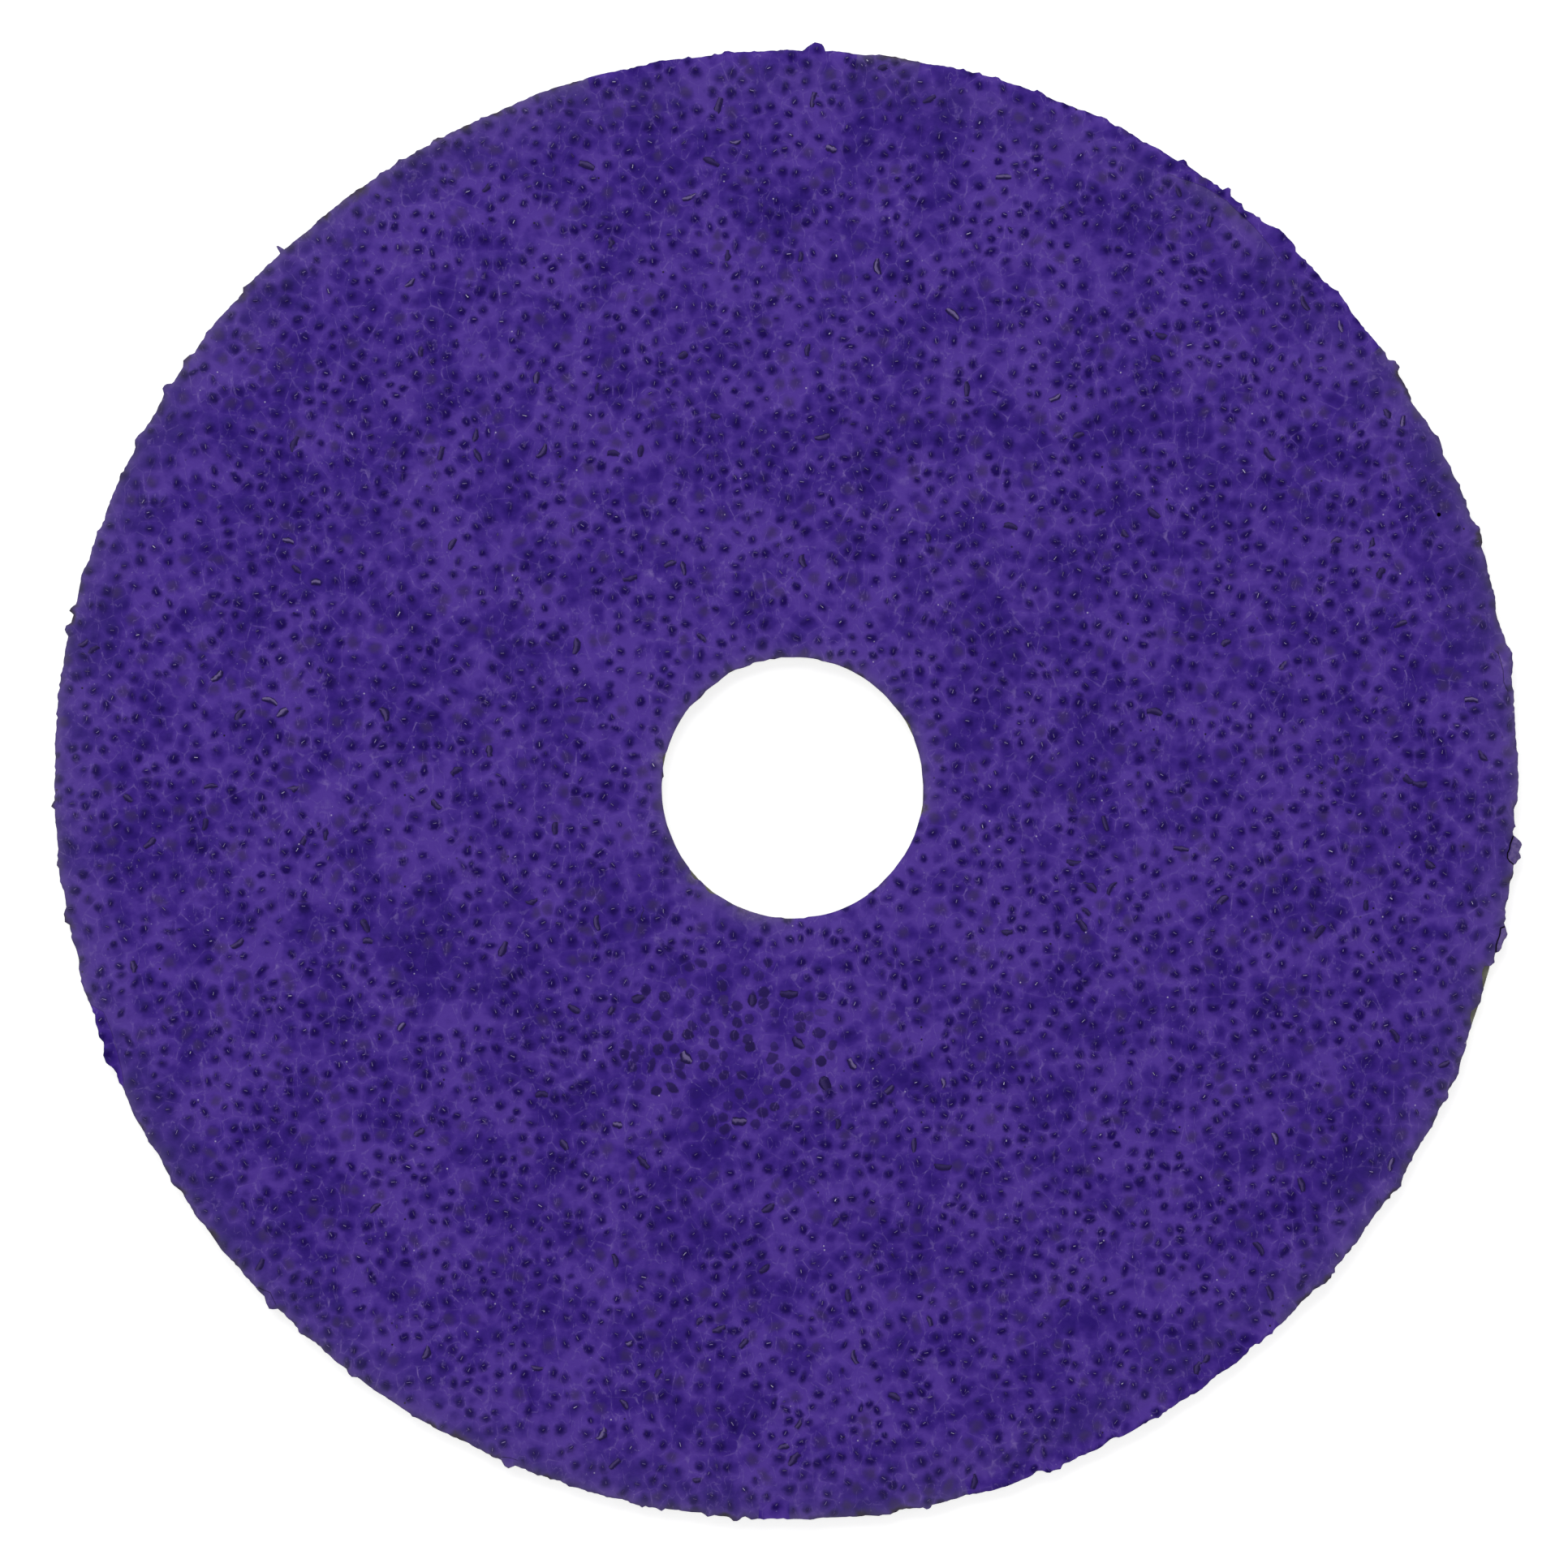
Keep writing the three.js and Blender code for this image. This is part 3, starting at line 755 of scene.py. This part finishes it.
# The clean lips, face by face, so that they end as sharply as they do on the disc.
face_bearing = bearings(top_middle, RIM_CENTRE)
clean = np.any([(face_bearing > low) & (face_bearing < high) for low, high in RESIN_LIPS], axis=0)
for line, low, high, reach, kept_side in (
    (LIP_LINES[0], 46.5, 58, 860, False), (LIP_LINES[1], 197.6, 205.7, 925, True),
):
    patch = within(top_middle, np.r_[line, seen_round([(high, reach), (low, reach)])])
    sector = (face_bearing > low) & (face_bearing < high)
    clean &= ~sector | (patch == kept_side)
lip_depth = 1 - smooth(rim_gap(top_middle), 0.9, 2.4)
note(coat_mesh, "lip", "FACE", np.r_[clean * lip_depth, np.zeros(side_faces)])
smooth_faces = np.r_[np.ones(len(faces), bool), np.zeros(side_faces, bool)]
coat_mesh.polygons.foreach_set("use_smooth", smooth_faces)

# Phenolic resin, dyed violet, poured and cured: deep in colour, waxy rather than glossy, darker where it
# thins out over a grain and paler where it has crazed.
RESIN_DEEP = "#2D1377"
RESIN_VIOLET = "#3E2289"
RESIN_PALE = "#54379D"
SPOT_DARK = "#1B005C"
SUNK_GREY = "#403260"
CRAZE_PALE = "#8670BA"
HAZE_GREY = "#736D74"
POOL_DARK = "#251653"
BARE_OLIVE = "#413B40"
FLAKE_DUST = "#74639A"
# Painted shade, near black, for the cracks, the pit, the hair cracks, the lip lines and the pinholes.
PAINTED_CRACK_SHADE = "#17101F"
DUST_LILAC = "#9C90BE"
DUST_BRIGHT = "#C4BAD8"
DRIFT_MM = 12.0
CLOUD_MM = 3.4
MOTTLE_MM = 1.2
resin = bpy.data.materials.new("poured violet phenolic resin")
tree = emptied(resin)
place = node(tree, "TexCoord", out="Object")
in_mm = node(tree, "VectorMath", {0: place, "Scale": 1 / MM}, operation="SCALE")
told = {
    name: node(tree, "Attribute", out="Fac", attribute_name=name)
    for name in (
        "seam_gap", "craze", "rim_haze", "hole_haze", "paler", "lip", "bare", "pool", "crack", "hair",
        "own_along", "own_across", "flake", "own_dark", "own_sunk", "next_along", "next_across",
        "next_dark", "next_sunk",
    )
}
cloud, mottle, grainy, ragged, breaks, orange_peel = (
    node(tree, "TexNoise", {"Vector": in_mm, "Scale": per_mm, "Detail": detail, "Roughness": rough})
    for per_mm, detail, rough in (
        (1 / CLOUD_MM, 3.0, 0.55), (1 / MOTTLE_MM, 4.0, 0.6), (3.2, 3.0, 0.6), (2.1, 3.0, 0.65),
        (1.4, 3.0, 0.7), (4.0, 4.0, 0.6),
    )
)
clouds = node(tree, "MapRange", {"Value": cloud, "From Min": 0.3, "From Max": 0.7})
mottles = node(tree, "MapRange", {"Value": mottle, "From Min": 0.27, "From Max": 0.73})
drift = node(tree, "TexNoise", {"Vector": in_mm, "Scale": 1 / DRIFT_MM, "Detail": 1.0})
drifts = node(tree, "MapRange", {
    "Value": drift, "From Min": 0.34, "From Max": 0.66, "To Min": -0.07, "To Max": 0.07})
tone = node(tree, "Mix", {0: 0.36, 2: clouds, 3: mottles})
tone = node(tree, "Math", {0: tone, 1: drifts}, operation="ADD")
tone = node(tree, "Math", {0: tone, 1: told["paler"]}, operation="ADD")
by_seam = node(tree, "MapRange", {
    "Value": told["seam_gap"], "From Min": 0.0, "From Max": 0.5, "To Min": 0.16, "To Max": -0.05,
}, interpolation_type="SMOOTHSTEP")
tone = node(tree, "Math", {0: tone, 1: by_seam}, operation="ADD")
tone_of = node(tree, "ValToRGB", {"Fac": tone}, out=None)
ramp = tone_of.color_ramp
ramp.elements[0].position, ramp.elements[0].color = 0.2, linear(RESIN_DEEP)
ramp.elements[1].position, ramp.elements[1].color = 0.8, linear(RESIN_PALE)
ramp.elements.new(0.5).color = linear(RESIN_VIOLET)
colour = tone_of.outputs["Color"]

# The spots over the grains: the nearest grain's and the next one's, so that they meet without a step.
shares = []
for name in ("own", "next"):
    reach = node(tree, "CombineXYZ", {0: told[name + "_along"], 1: told[name + "_across"]})
    away = node(tree, "VectorMath", {0: reach}, "Value", operation="LENGTH")
    bent = node(tree, "Math", {0: ragged, 1: 0.8, 2: away}, operation="MULTIPLY_ADD")
    round_spot = node(tree, "MapRange", {
        "Value": bent, "From Min": 0.5, "From Max": 1.32, "To Min": 1.0, "To Max": 0.0,
    }, interpolation_type="SMOOTHSTEP")
    blunt_spot = node(tree, "MapRange", {
        "Value": bent, "From Min": 1.06, "From Max": 1.32, "To Min": 0.72, "To Max": 0.0,
    }, interpolation_type="SMOOTHSTEP")
    spot = node(tree, "Mix", {0: told["pool"], 2: round_spot, 3: blunt_spot})
    dark = node(tree, "Math", {0: spot, 1: told[name + "_dark"]}, operation="MULTIPLY")
    sunk = node(tree, "Math", {0: spot, 1: told[name + "_sunk"]}, operation="MULTIPLY")
    shares.append((dark, sunk))
dark = node(tree, "Math", {0: shares[0][0], 1: shares[1][0]}, operation="MAXIMUM")
sunk = node(tree, "Math", {0: shares[0][1], 1: shares[1][1]}, operation="MAXIMUM")
spot_colour = node(
    tree, "Mix", {0: told["pool"], 6: linear(SPOT_DARK), 7: linear(POOL_DARK)}, 2, data_type="RGBA")
for mask, amount, over in ((sunk, 0.62, linear(SUNK_GREY)), (dark, 1.04, spot_colour)):
    mask = node(tree, "Math", {0: mask, 1: amount}, operation="MULTIPLY", use_clamp=True)
    colour = node(tree, "Mix", {0: mask, 6: colour, 7: over}, 2, data_type="RGBA")

# Craze lines, broken into short lengths, and the pale dust that lies along them.
wander = node(tree, "Math", {0: grainy, 1: 0.05, 2: told["seam_gap"]}, operation="MULTIPLY_ADD")
thread = node(tree, "MapRange", {
    "Value": wander, "From Min": 0.035, "From Max": 0.095, "To Min": 1.0, "To Max": 0.0,
}, interpolation_type="SMOOTHSTEP")
whole_thread = node(tree, "MapRange", {"Value": breaks, "From Min": 0.42, "From Max": 0.62})
craze_part = node(tree, "Math", {0: thread, 1: whole_thread}, operation="MULTIPLY")
craze_seen = node(tree, "Math", {0: craze_part, 1: told["craze"]}, operation="MULTIPLY")
craze_mask = node(tree, "Math", {0: craze_seen, 1: 0.78}, operation="MULTIPLY", use_clamp=True)

# Drawn strands: where the resin crept as it cured, it left fine upright threads between the grains.
STRAND_MM = (1.15, 2.6)
leaning = node(tree, "Mapping", {"Vector": in_mm, "Scale": (1 / STRAND_MM[0], 1 / STRAND_MM[1], 1.0)})
strand = node(tree, "TexNoise", {"Vector": leaning, "Scale": 1.0, "Detail": 1.5})
off_level = node(tree, "Math", {0: strand, 1: 0.5}, operation="SUBTRACT")
off_level = node(tree, "Math", {0: off_level}, operation="ABSOLUTE")
strand_line = node(tree, "MapRange", {
    "Value": off_level, "From Min": 0.003, "From Max": 0.016, "To Min": 1.0, "To Max": 0.0})
beads = node(tree, "MapRange", {"Value": grainy, "From Min": 0.42, "From Max": 0.62, "To Max": 0.34})
strand_seen = node(tree, "Math", {0: strand_line, 1: beads}, operation="MULTIPLY")

# Dust specks and pinholes: points 0.1 to 0.2 mm across, in a few of the cells of a fine pattern. The
# pinholes are painted shade, black dots without a hole in the mesh, and their pattern is the same at all
# heights, so that each of them shows whole.
dots = []
for cell_mm, radius, rate, sheet in (
    (0.45, 0.11, 0.84, "3D"), (1.1, 0.085, 0.97, "2D"), (1.4, 0.05, 0.82, "3D"),
):
    cells = node(
        tree, "TexVoronoi", {"Vector": in_mm, "Scale": 1 / cell_mm}, None, voronoi_dimensions=sheet)
    chance = node(tree, "SeparateColor", {"Color": cells.outputs["Color"]})
    chosen = node(tree, "Math", {0: chance, 1: rate}, operation="GREATER_THAN")
    dot = node(tree, "MapRange", {
        "Value": cells.outputs["Distance"], "From Min": 0.5 * radius, "From Max": 1.3 * radius,
        "To Min": 1.0, "To Max": 0.0,
    })
    dots.append(node(tree, "Math", {0: dot, 1: chosen}, operation="MULTIPLY"))
dust = node(tree, "Math", {0: dots[0], 1: 0.5}, operation="MULTIPLY")
speck = node(tree, "Math", {0: dots[2], 1: 0.7}, operation="MULTIPLY")
hole_cluster = node(tree, "MapRange", {"Value": cloud, "From Min": 0.5, "From Max": 0.6})
pinhole = node(tree, "Math", {0: dots[1], 1: hole_cluster}, operation="MULTIPLY")

# The edges: grey with handling, olive where the grain is bare, and clean on the thick lips of resin.
no_lip = node(tree, "Math", {0: 1.0, 1: told["lip"]}, operation="SUBTRACT", use_clamp=True)
hazed = node(tree, "Math", {0: told["rim_haze"], 1: no_lip, 2: told["hole_haze"]},
             operation="MULTIPLY_ADD")
bare_ragged = node(tree, "Math", {0: mottle, 1: 1.5, 2: told["bare"]}, operation="MULTIPLY_ADD")
bare_mask = node(tree, "MapRange", {
    "Value": bare_ragged, "From Min": 1.05, "From Max": 1.75, "To Max": 0.85})
flake_dust = node(tree, "MapRange", {
    "Value": grainy, "From Min": 0.35, "From Max": 0.65, "To Min": 0.25, "To Max": 0.9})
flake_mask = node(tree, "Math", {0: flake_dust, 1: told["flake"]}, operation="MULTIPLY")
crack_shade_mask = node(tree, "MapRange", {"Value": told["crack"], "From Min": 0.1, "From Max": 0.6})
# Painted shade: near black in the cracks and the pit, which are cut into the mesh, and along the hair
# cracks, the lip lines and the pinholes, which are not.
for mask, over in (
    (craze_mask, CRAZE_PALE), (strand_seen, CRAZE_PALE), (dust, DUST_LILAC), (speck, DUST_BRIGHT),
    (pinhole, PAINTED_CRACK_SHADE), (hazed, HAZE_GREY), (bare_mask, BARE_OLIVE), (flake_mask, FLAKE_DUST),
    (told["hair"], PAINTED_CRACK_SHADE), (crack_shade_mask, PAINTED_CRACK_SHADE),
):
    colour = node(tree, "Mix", {0: mask, 6: colour, 7: linear(over)}, 2, data_type="RGBA")

skin_bump = node(tree, "Bump", {"Height": orange_peel, "Distance": 0.05 * MM, "Strength": 0.7})
shine = node(tree, "MapRange", {"Value": mottle, "To Min": 0.42, "To Max": 0.6})
skin = node(tree, "BsdfPrincipled", {
    "Base Color": colour, "Roughness": shine, "Normal": skin_bump, "Specular IOR Level": 0.12,
})
node(tree, "OutputMaterial", {"Surface": skin})
coat_mesh.materials.append(resin)
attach(coat, "root")
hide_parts("abrasive_coat")


# Grain tips: the broken edges of the abrasive that stand out of the resin over each mound. Each is a
# splinter of sintered alumina, wetted dark by the resin on its sides, with a painted highlight, pale
# lilac-grey, along its ridge.
TIP_LENGTH = (0.16, 0.36)
TIP_WIDTH = (0.14, 0.22)
TIP_RISE = (0.04, 0.10)
TIP_SUNK = 0.10
TIP_OFF_EDGE = 0.35
TOP_MARGIN = 0.006


def splinter(centre, turn, length, width, top, foot, stations, blunt, crest, bend):
    """Corners and faces of one broken grain: five-sided along its length, with a ridge on top."""
    half = width / 2
    thickness = (0.85, 1.1) if bend == 0 else (0.7, 1.15)
    corners, ridges, sides = [], [], []
    for k in range(stations):
        part = k / (stations - 1) * 2 - 1
        narrow = draw.uniform(*thickness)
        narrow -= (0.35 + abs(bend)) * part ** 2 * draw.uniform(0.6, 1.2)
        lean = (crest + draw.uniform(-0.2, 0.2)) * half
        height = top - (top - foot) * draw.uniform(0.05, 0.3) * abs(part) ** 2
        shoulder = foot + (height - foot) * draw.uniform(*blunt)
        profile = (
            (-half * 1.25 * narrow, foot), (half * 1.25 * narrow, foot), (half * 0.9 * narrow, shoulder),
            (lean, height), (-half * 0.9 * narrow, shoulder),
        )
        for n, (out, level) in enumerate(profile):
            out += bend * length * (part ** 2 - 0.4)
            along = part * length / 2 * (1.12 if n < 2 else 1.0) + draw.uniform(-0.04, 0.04) * length
            corners.append((
                centre[0] + math.cos(turn) * along - math.sin(turn) * out,
                centre[1] + math.sin(turn) * along + math.cos(turn) * out,
                level,
            ))
            ridges.append(1.0 if n == 3 else 0.0)
        if k:
            start = (k - 1) * 5
            sides += [
                [start + n, start + (n + 1) % 5, start + 5 + (n + 1) % 5, start + 5 + n] for n in range(5)]
    last = (stations - 1) * 5
    sides += [[4, 3, 2, 1, 0], [last, last + 1, last + 2, last + 3, last + 4]]
    return corners, ridges, sides


def grain_piece(name, chosen, shapes, material):
    """One piece made of a splinter on each of the chosen grains, with what its material is told."""
    corners, ridges, sides, tones = [], [], [], []
    for grain, shape in zip(chosen, shapes):
        made, ridge, faces = splinter(*shape)
        start = len(corners)
        corners += made
        ridges += ridge
        sides += [[start + n for n in face] for face in faces]
        tones += [grain_glint_level[grain]] * len(made)
    mesh = bpy.data.meshes.new(name)
    mesh.from_pydata((np.array(corners) * MM).tolist(), [], sides)
    note(mesh, "ridge", "POINT", ridges)
    note(mesh, "pale", "POINT", tones)
    mesh.materials.append(material)
    return put_in(name, mesh)


def coat_height(points):
    """The height of the fine coat under each point, from the three grains around it."""
    near = np.array([[i for _, i, _ in grain_tree.find_n((x, y, 0.0), 3)] for x, y in points.tolist()])
    return np.minimum(COAT_TOP + SWELL_RISE * waves(points, *SWELL) + mounds(points, near), COAT_MOST)


# How bright each grain's painted highlight is; the rods use it for their crest too.
grain_glint_level = draw.beta(1.6, 3.4, len(grains))
tips = np.flatnonzero(is_tip & kept(grains, TIP_OFF_EDGE) & ~in_pool)
tip_heights = coat_height(grains[tips])
tip_shapes = []
for grain, height in zip(tips, tip_heights):
    length, width, up = (draw.uniform(*span) for span in (TIP_LENGTH, TIP_WIDTH, TIP_RISE))
    # Each tip sits a little off its grain toward the window light, so that its painted highlight lies on
    # the lit side of the spot.
    offset = draw.normal(0, 0.05, 2) + (-0.01, 0.05)
    top = min(height + up, cad_high[2] / MM - TOP_MARGIN)
    tip_shapes.append((grains[grain] + offset, grain_turn[grain] + draw.normal(0, 0.25), length, width, top,
                       height - TIP_SUNK, 2, (0.45, 0.7), 0.0, 0.0))

# Sintered alumina grain in resin: dark violet where wetted, with a thin lilac-grey painted highlight along
# the ridge, near white on a few grains.
GRAIN_WET = "#1C0A50"
GRAIN_GLINT_PAINTED = "#A598CC"
GRAIN_DULL = "#3F2C6C"
GRAIN_GLINT_BRIGHTEST = "#D6CEF0"
grain_edge = bpy.data.materials.new("resin-wetted sintered alumina, painted glints")
tree = emptied(grain_edge)
place = node(tree, "TexCoord", out="Object")
in_mm = node(tree, "VectorMath", {0: place, "Scale": 1 / MM}, operation="SCALE")
ridge = node(tree, "Attribute", out="Fac", attribute_name="ridge")
pale = node(tree, "Attribute", out="Fac", attribute_name="pale")
crystal = node(tree, "TexNoise", {"Vector": in_mm, "Scale": 6.0, "Detail": 2.0, "Roughness": 0.6})
rough_ridge = node(tree, "Math", {0: crystal, 1: 0.5, 2: ridge}, operation="MULTIPLY_ADD")
glint_mask = node(tree, "MapRange", {
    "Value": rough_ridge, "From Min": 0.55, "From Max": 1.05}, interpolation_type="SMOOTHSTEP")
glint_tone = node(
    tree, "Mix", {0: pale, 6: linear(GRAIN_DULL), 7: linear(GRAIN_GLINT_PAINTED)}, 2, data_type="RGBA")
is_bright = node(tree, "MapRange", {"Value": pale, "From Min": 0.68, "From Max": 0.84})
glint_tone = node(tree, "Mix", {0: is_bright, 6: glint_tone, 7: linear(GRAIN_GLINT_BRIGHTEST)}, 2, data_type="RGBA")
grain_colour = node(tree, "Mix", {0: glint_mask, 6: linear(GRAIN_WET), 7: glint_tone}, 2, data_type="RGBA")
grain_dull = node(tree, "MapRange", {"Value": crystal, "To Min": 0.35, "To Max": 0.6})
grain_skin = node(tree, "BsdfPrincipled", {
    "Base Color": grain_colour, "Roughness": grain_dull, "Specular IOR Level": 0.15})
node(tree, "OutputMaterial", {"Surface": grain_skin})

grain_tips = grain_piece("grain_tips", tips, tip_shapes, grain_edge)
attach(grain_tips, "root")


# Rod grains: the long ones among the abrasive, which lie flat and half sunk in the resin. They are the
# same mineral, wetted dark, with a painted highlight along a crest that leans toward the light, and a dark
# line of resin round them.
ROD_LENGTH = (0.75, 1.4)
ROD_WIDTH = (0.44, 0.66)
ROD_RISE = (0.02, 0.07)
ROD_SUNK = 0.12
ROD_BEND = 0.16
ROD_OFF_EDGE = 1.0
POOL_WIDER = 1.5
rods = np.flatnonzero(is_rod & kept(grains, ROD_OFF_EDGE))
rod_heights = coat_height(grains[rods])
rod_shapes = []
for grain, height in zip(rods, rod_heights):
    length, width = draw.uniform(*ROD_LENGTH), draw.uniform(*ROD_WIDTH)
    top = min(height + draw.uniform(*ROD_RISE), cad_high[2] / MM - TOP_MARGIN)
    turn = grain_turn[grain]
    # The crest leans toward the window light, so that its painted highlight lies on the lit side of the
    # rod.
    lit = 1 if 0.5 * math.sin(turn) + 0.87 * math.cos(turn) > 0 else -1
    if in_pool[grain]:
        width *= POOL_WIDER
    rod_shapes.append((grains[grain], turn, length, width, top, COAT_TOP - ROD_SUNK, 5, (0.8, 0.92),
                       0.42 * lit, draw.uniform(-ROD_BEND, ROD_BEND)))

# The same alumina, with a duller, greyer painted highlight along the crest of each rod. On a few it is
# pale.
ROD_BODY = "#21134C"
ROD_CREST_SHEEN = "#5C4D82"
ROD_BRIGHT = "#6E6092"
ROD_DULL = "#31235E"
rod_grain = grain_edge.copy()
rod_grain.name = "sintered alumina, painted crest highlight"
tree = rod_grain.node_tree
grain_glint_level[rods] = np.where(draw.random(len(rods)) < 0.12, 1.6, grain_glint_level[rods])
for mix in [n for n in tree.nodes if n.bl_idname == "ShaderNodeMix"]:
    if mix.inputs[7].is_linked:
        mix.inputs[6].default_value = linear(ROD_BODY)
    elif mix.inputs[6].is_linked:
        mix.inputs[7].default_value = linear(ROD_BRIGHT)
    else:
        mix.inputs[6].default_value, mix.inputs[7].default_value = linear(ROD_DULL), linear(ROD_CREST_SHEEN)
rod_grains = grain_piece("rod_grains", rods, rod_shapes, rod_grain)
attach(rod_grains, "root")


# Studio: a pale floor inside a light tent whose roof is dark round the camera, a mild window light from
# the top of the picture, and a long lens that looks straight down, as the photograph does.
SKY_LEVEL = 0.80
OVERHEAD_LEVEL = 0.12
KEY_WATTS = 2.4
FLOOR_HALF = 2.0
FLOOR_CLEAR = 0.0001
FLOOR_GLOW = 0.6
PAPER_GREY = "#E4E4E4"
PAPER_WHITE = "#EFEFEF"
PHOTO_PX = 1932
CAMERA_LENS = 200.0
CAMERA_SENSOR = 36.0
floor_mesh = bpy.data.meshes.new("floor")
floor_mesh.from_pydata(
    [(x * FLOOR_HALF, y * FLOOR_HALF, -FLOOR_CLEAR) for x, y in ((-1, -1), (1, -1), (1, 1), (-1, 1))],
    [], [(0, 1, 2, 3)])
floor = put_in("floor", floor_mesh)
paper_floor = bpy.data.materials.new("matte white paper")
tree = emptied(paper_floor)
ray = node(tree, "LightPath", out=None)
seen = node(tree, "Math", {0: ray.outputs["Is Camera Ray"], 1: ray.outputs["Is Glossy Ray"]},
            operation="ADD")
seen = node(tree, "Math", {0: seen, 1: ray.outputs["Is Transmission Ray"]}, operation="ADD",
            use_clamp=True)
glow = node(tree, "Math", {0: seen, 1: FLOOR_GLOW}, operation="MULTIPLY")
paper_grain = node(tree, "TexNoise", {"Scale": 400.0, "Detail": 3.0})
paper_tone = node(tree, "Mix", {
    0: paper_grain, 6: linear(PAPER_GREY), 7: linear(PAPER_WHITE)}, 2, data_type="RGBA")
matte = node(tree, "BsdfDiffuse", {"Color": paper_tone})
shining = node(tree, "Emission", {"Color": (1, 1, 1, 1), "Strength": glow})
both = node(tree, "AddShader", {0: matte, 1: shining})
node(tree, "OutputMaterial", {"Surface": both})
floor_mesh.materials.append(paper_floor)

world = bpy.data.worlds.new("studio")
bpy.context.scene.world = world
tree = emptied(world)
ray = node(tree, "LightPath", out=None)
seen = node(tree, "Math", {0: ray.outputs["Is Camera Ray"], 1: ray.outputs["Is Transmission Ray"]},
            operation="ADD", use_clamp=True)
around = node(tree, "TexCoord", out="Generated")
toward = node(tree, "SeparateXYZ", {0: around}, 2)
tent = node(tree, "MapRange", {
    "Value": toward, "From Min": 0.72, "From Max": 0.93, "To Min": SKY_LEVEL, "To Max": OVERHEAD_LEVEL,
}, interpolation_type="SMOOTHSTEP")
level = node(tree, "Mix", {0: seen, 2: tent, 3: 1.0})
sky = node(tree, "Background", {"Color": (1, 1, 1, 1), "Strength": level})
node(tree, "OutputWorld", {"Surface": sky})

window = bpy.data.lights.new("window", "AREA")
window.shape, window.size, window.size_y, window.energy = "RECTANGLE", 0.7, 0.5, KEY_WATTS
window_lamp = put_in("window", window)
window_lamp.location = (-0.18, 0.52, 0.58)
window_lamp.rotation_euler = (-window_lamp.location).to_track_quat("-Z", "Y").to_euler()

lens = bpy.data.cameras.new("copy stand camera")
lens.lens, lens.sensor_width, lens.sensor_fit = CAMERA_LENS, CAMERA_SENSOR, "HORIZONTAL"
camera = put_in("camera", lens)
frame_centre = seen_at([(PHOTO_PX / 2, PHOTO_PX / 2)])[0]
frame_width = PHOTO_PX / PX_PER_MM
stand_off = frame_width * CAMERA_LENS / CAMERA_SENSOR + COAT_TOP
camera.location = (frame_centre[0] * MM, frame_centre[1] * MM, stand_off * MM)
camera.rotation_euler = (0, 0, 0)
lens.clip_start, lens.clip_end = 0.05, 20
bpy.context.scene.camera = camera
bpy.context.scene.view_settings.view_transform = "Standard"
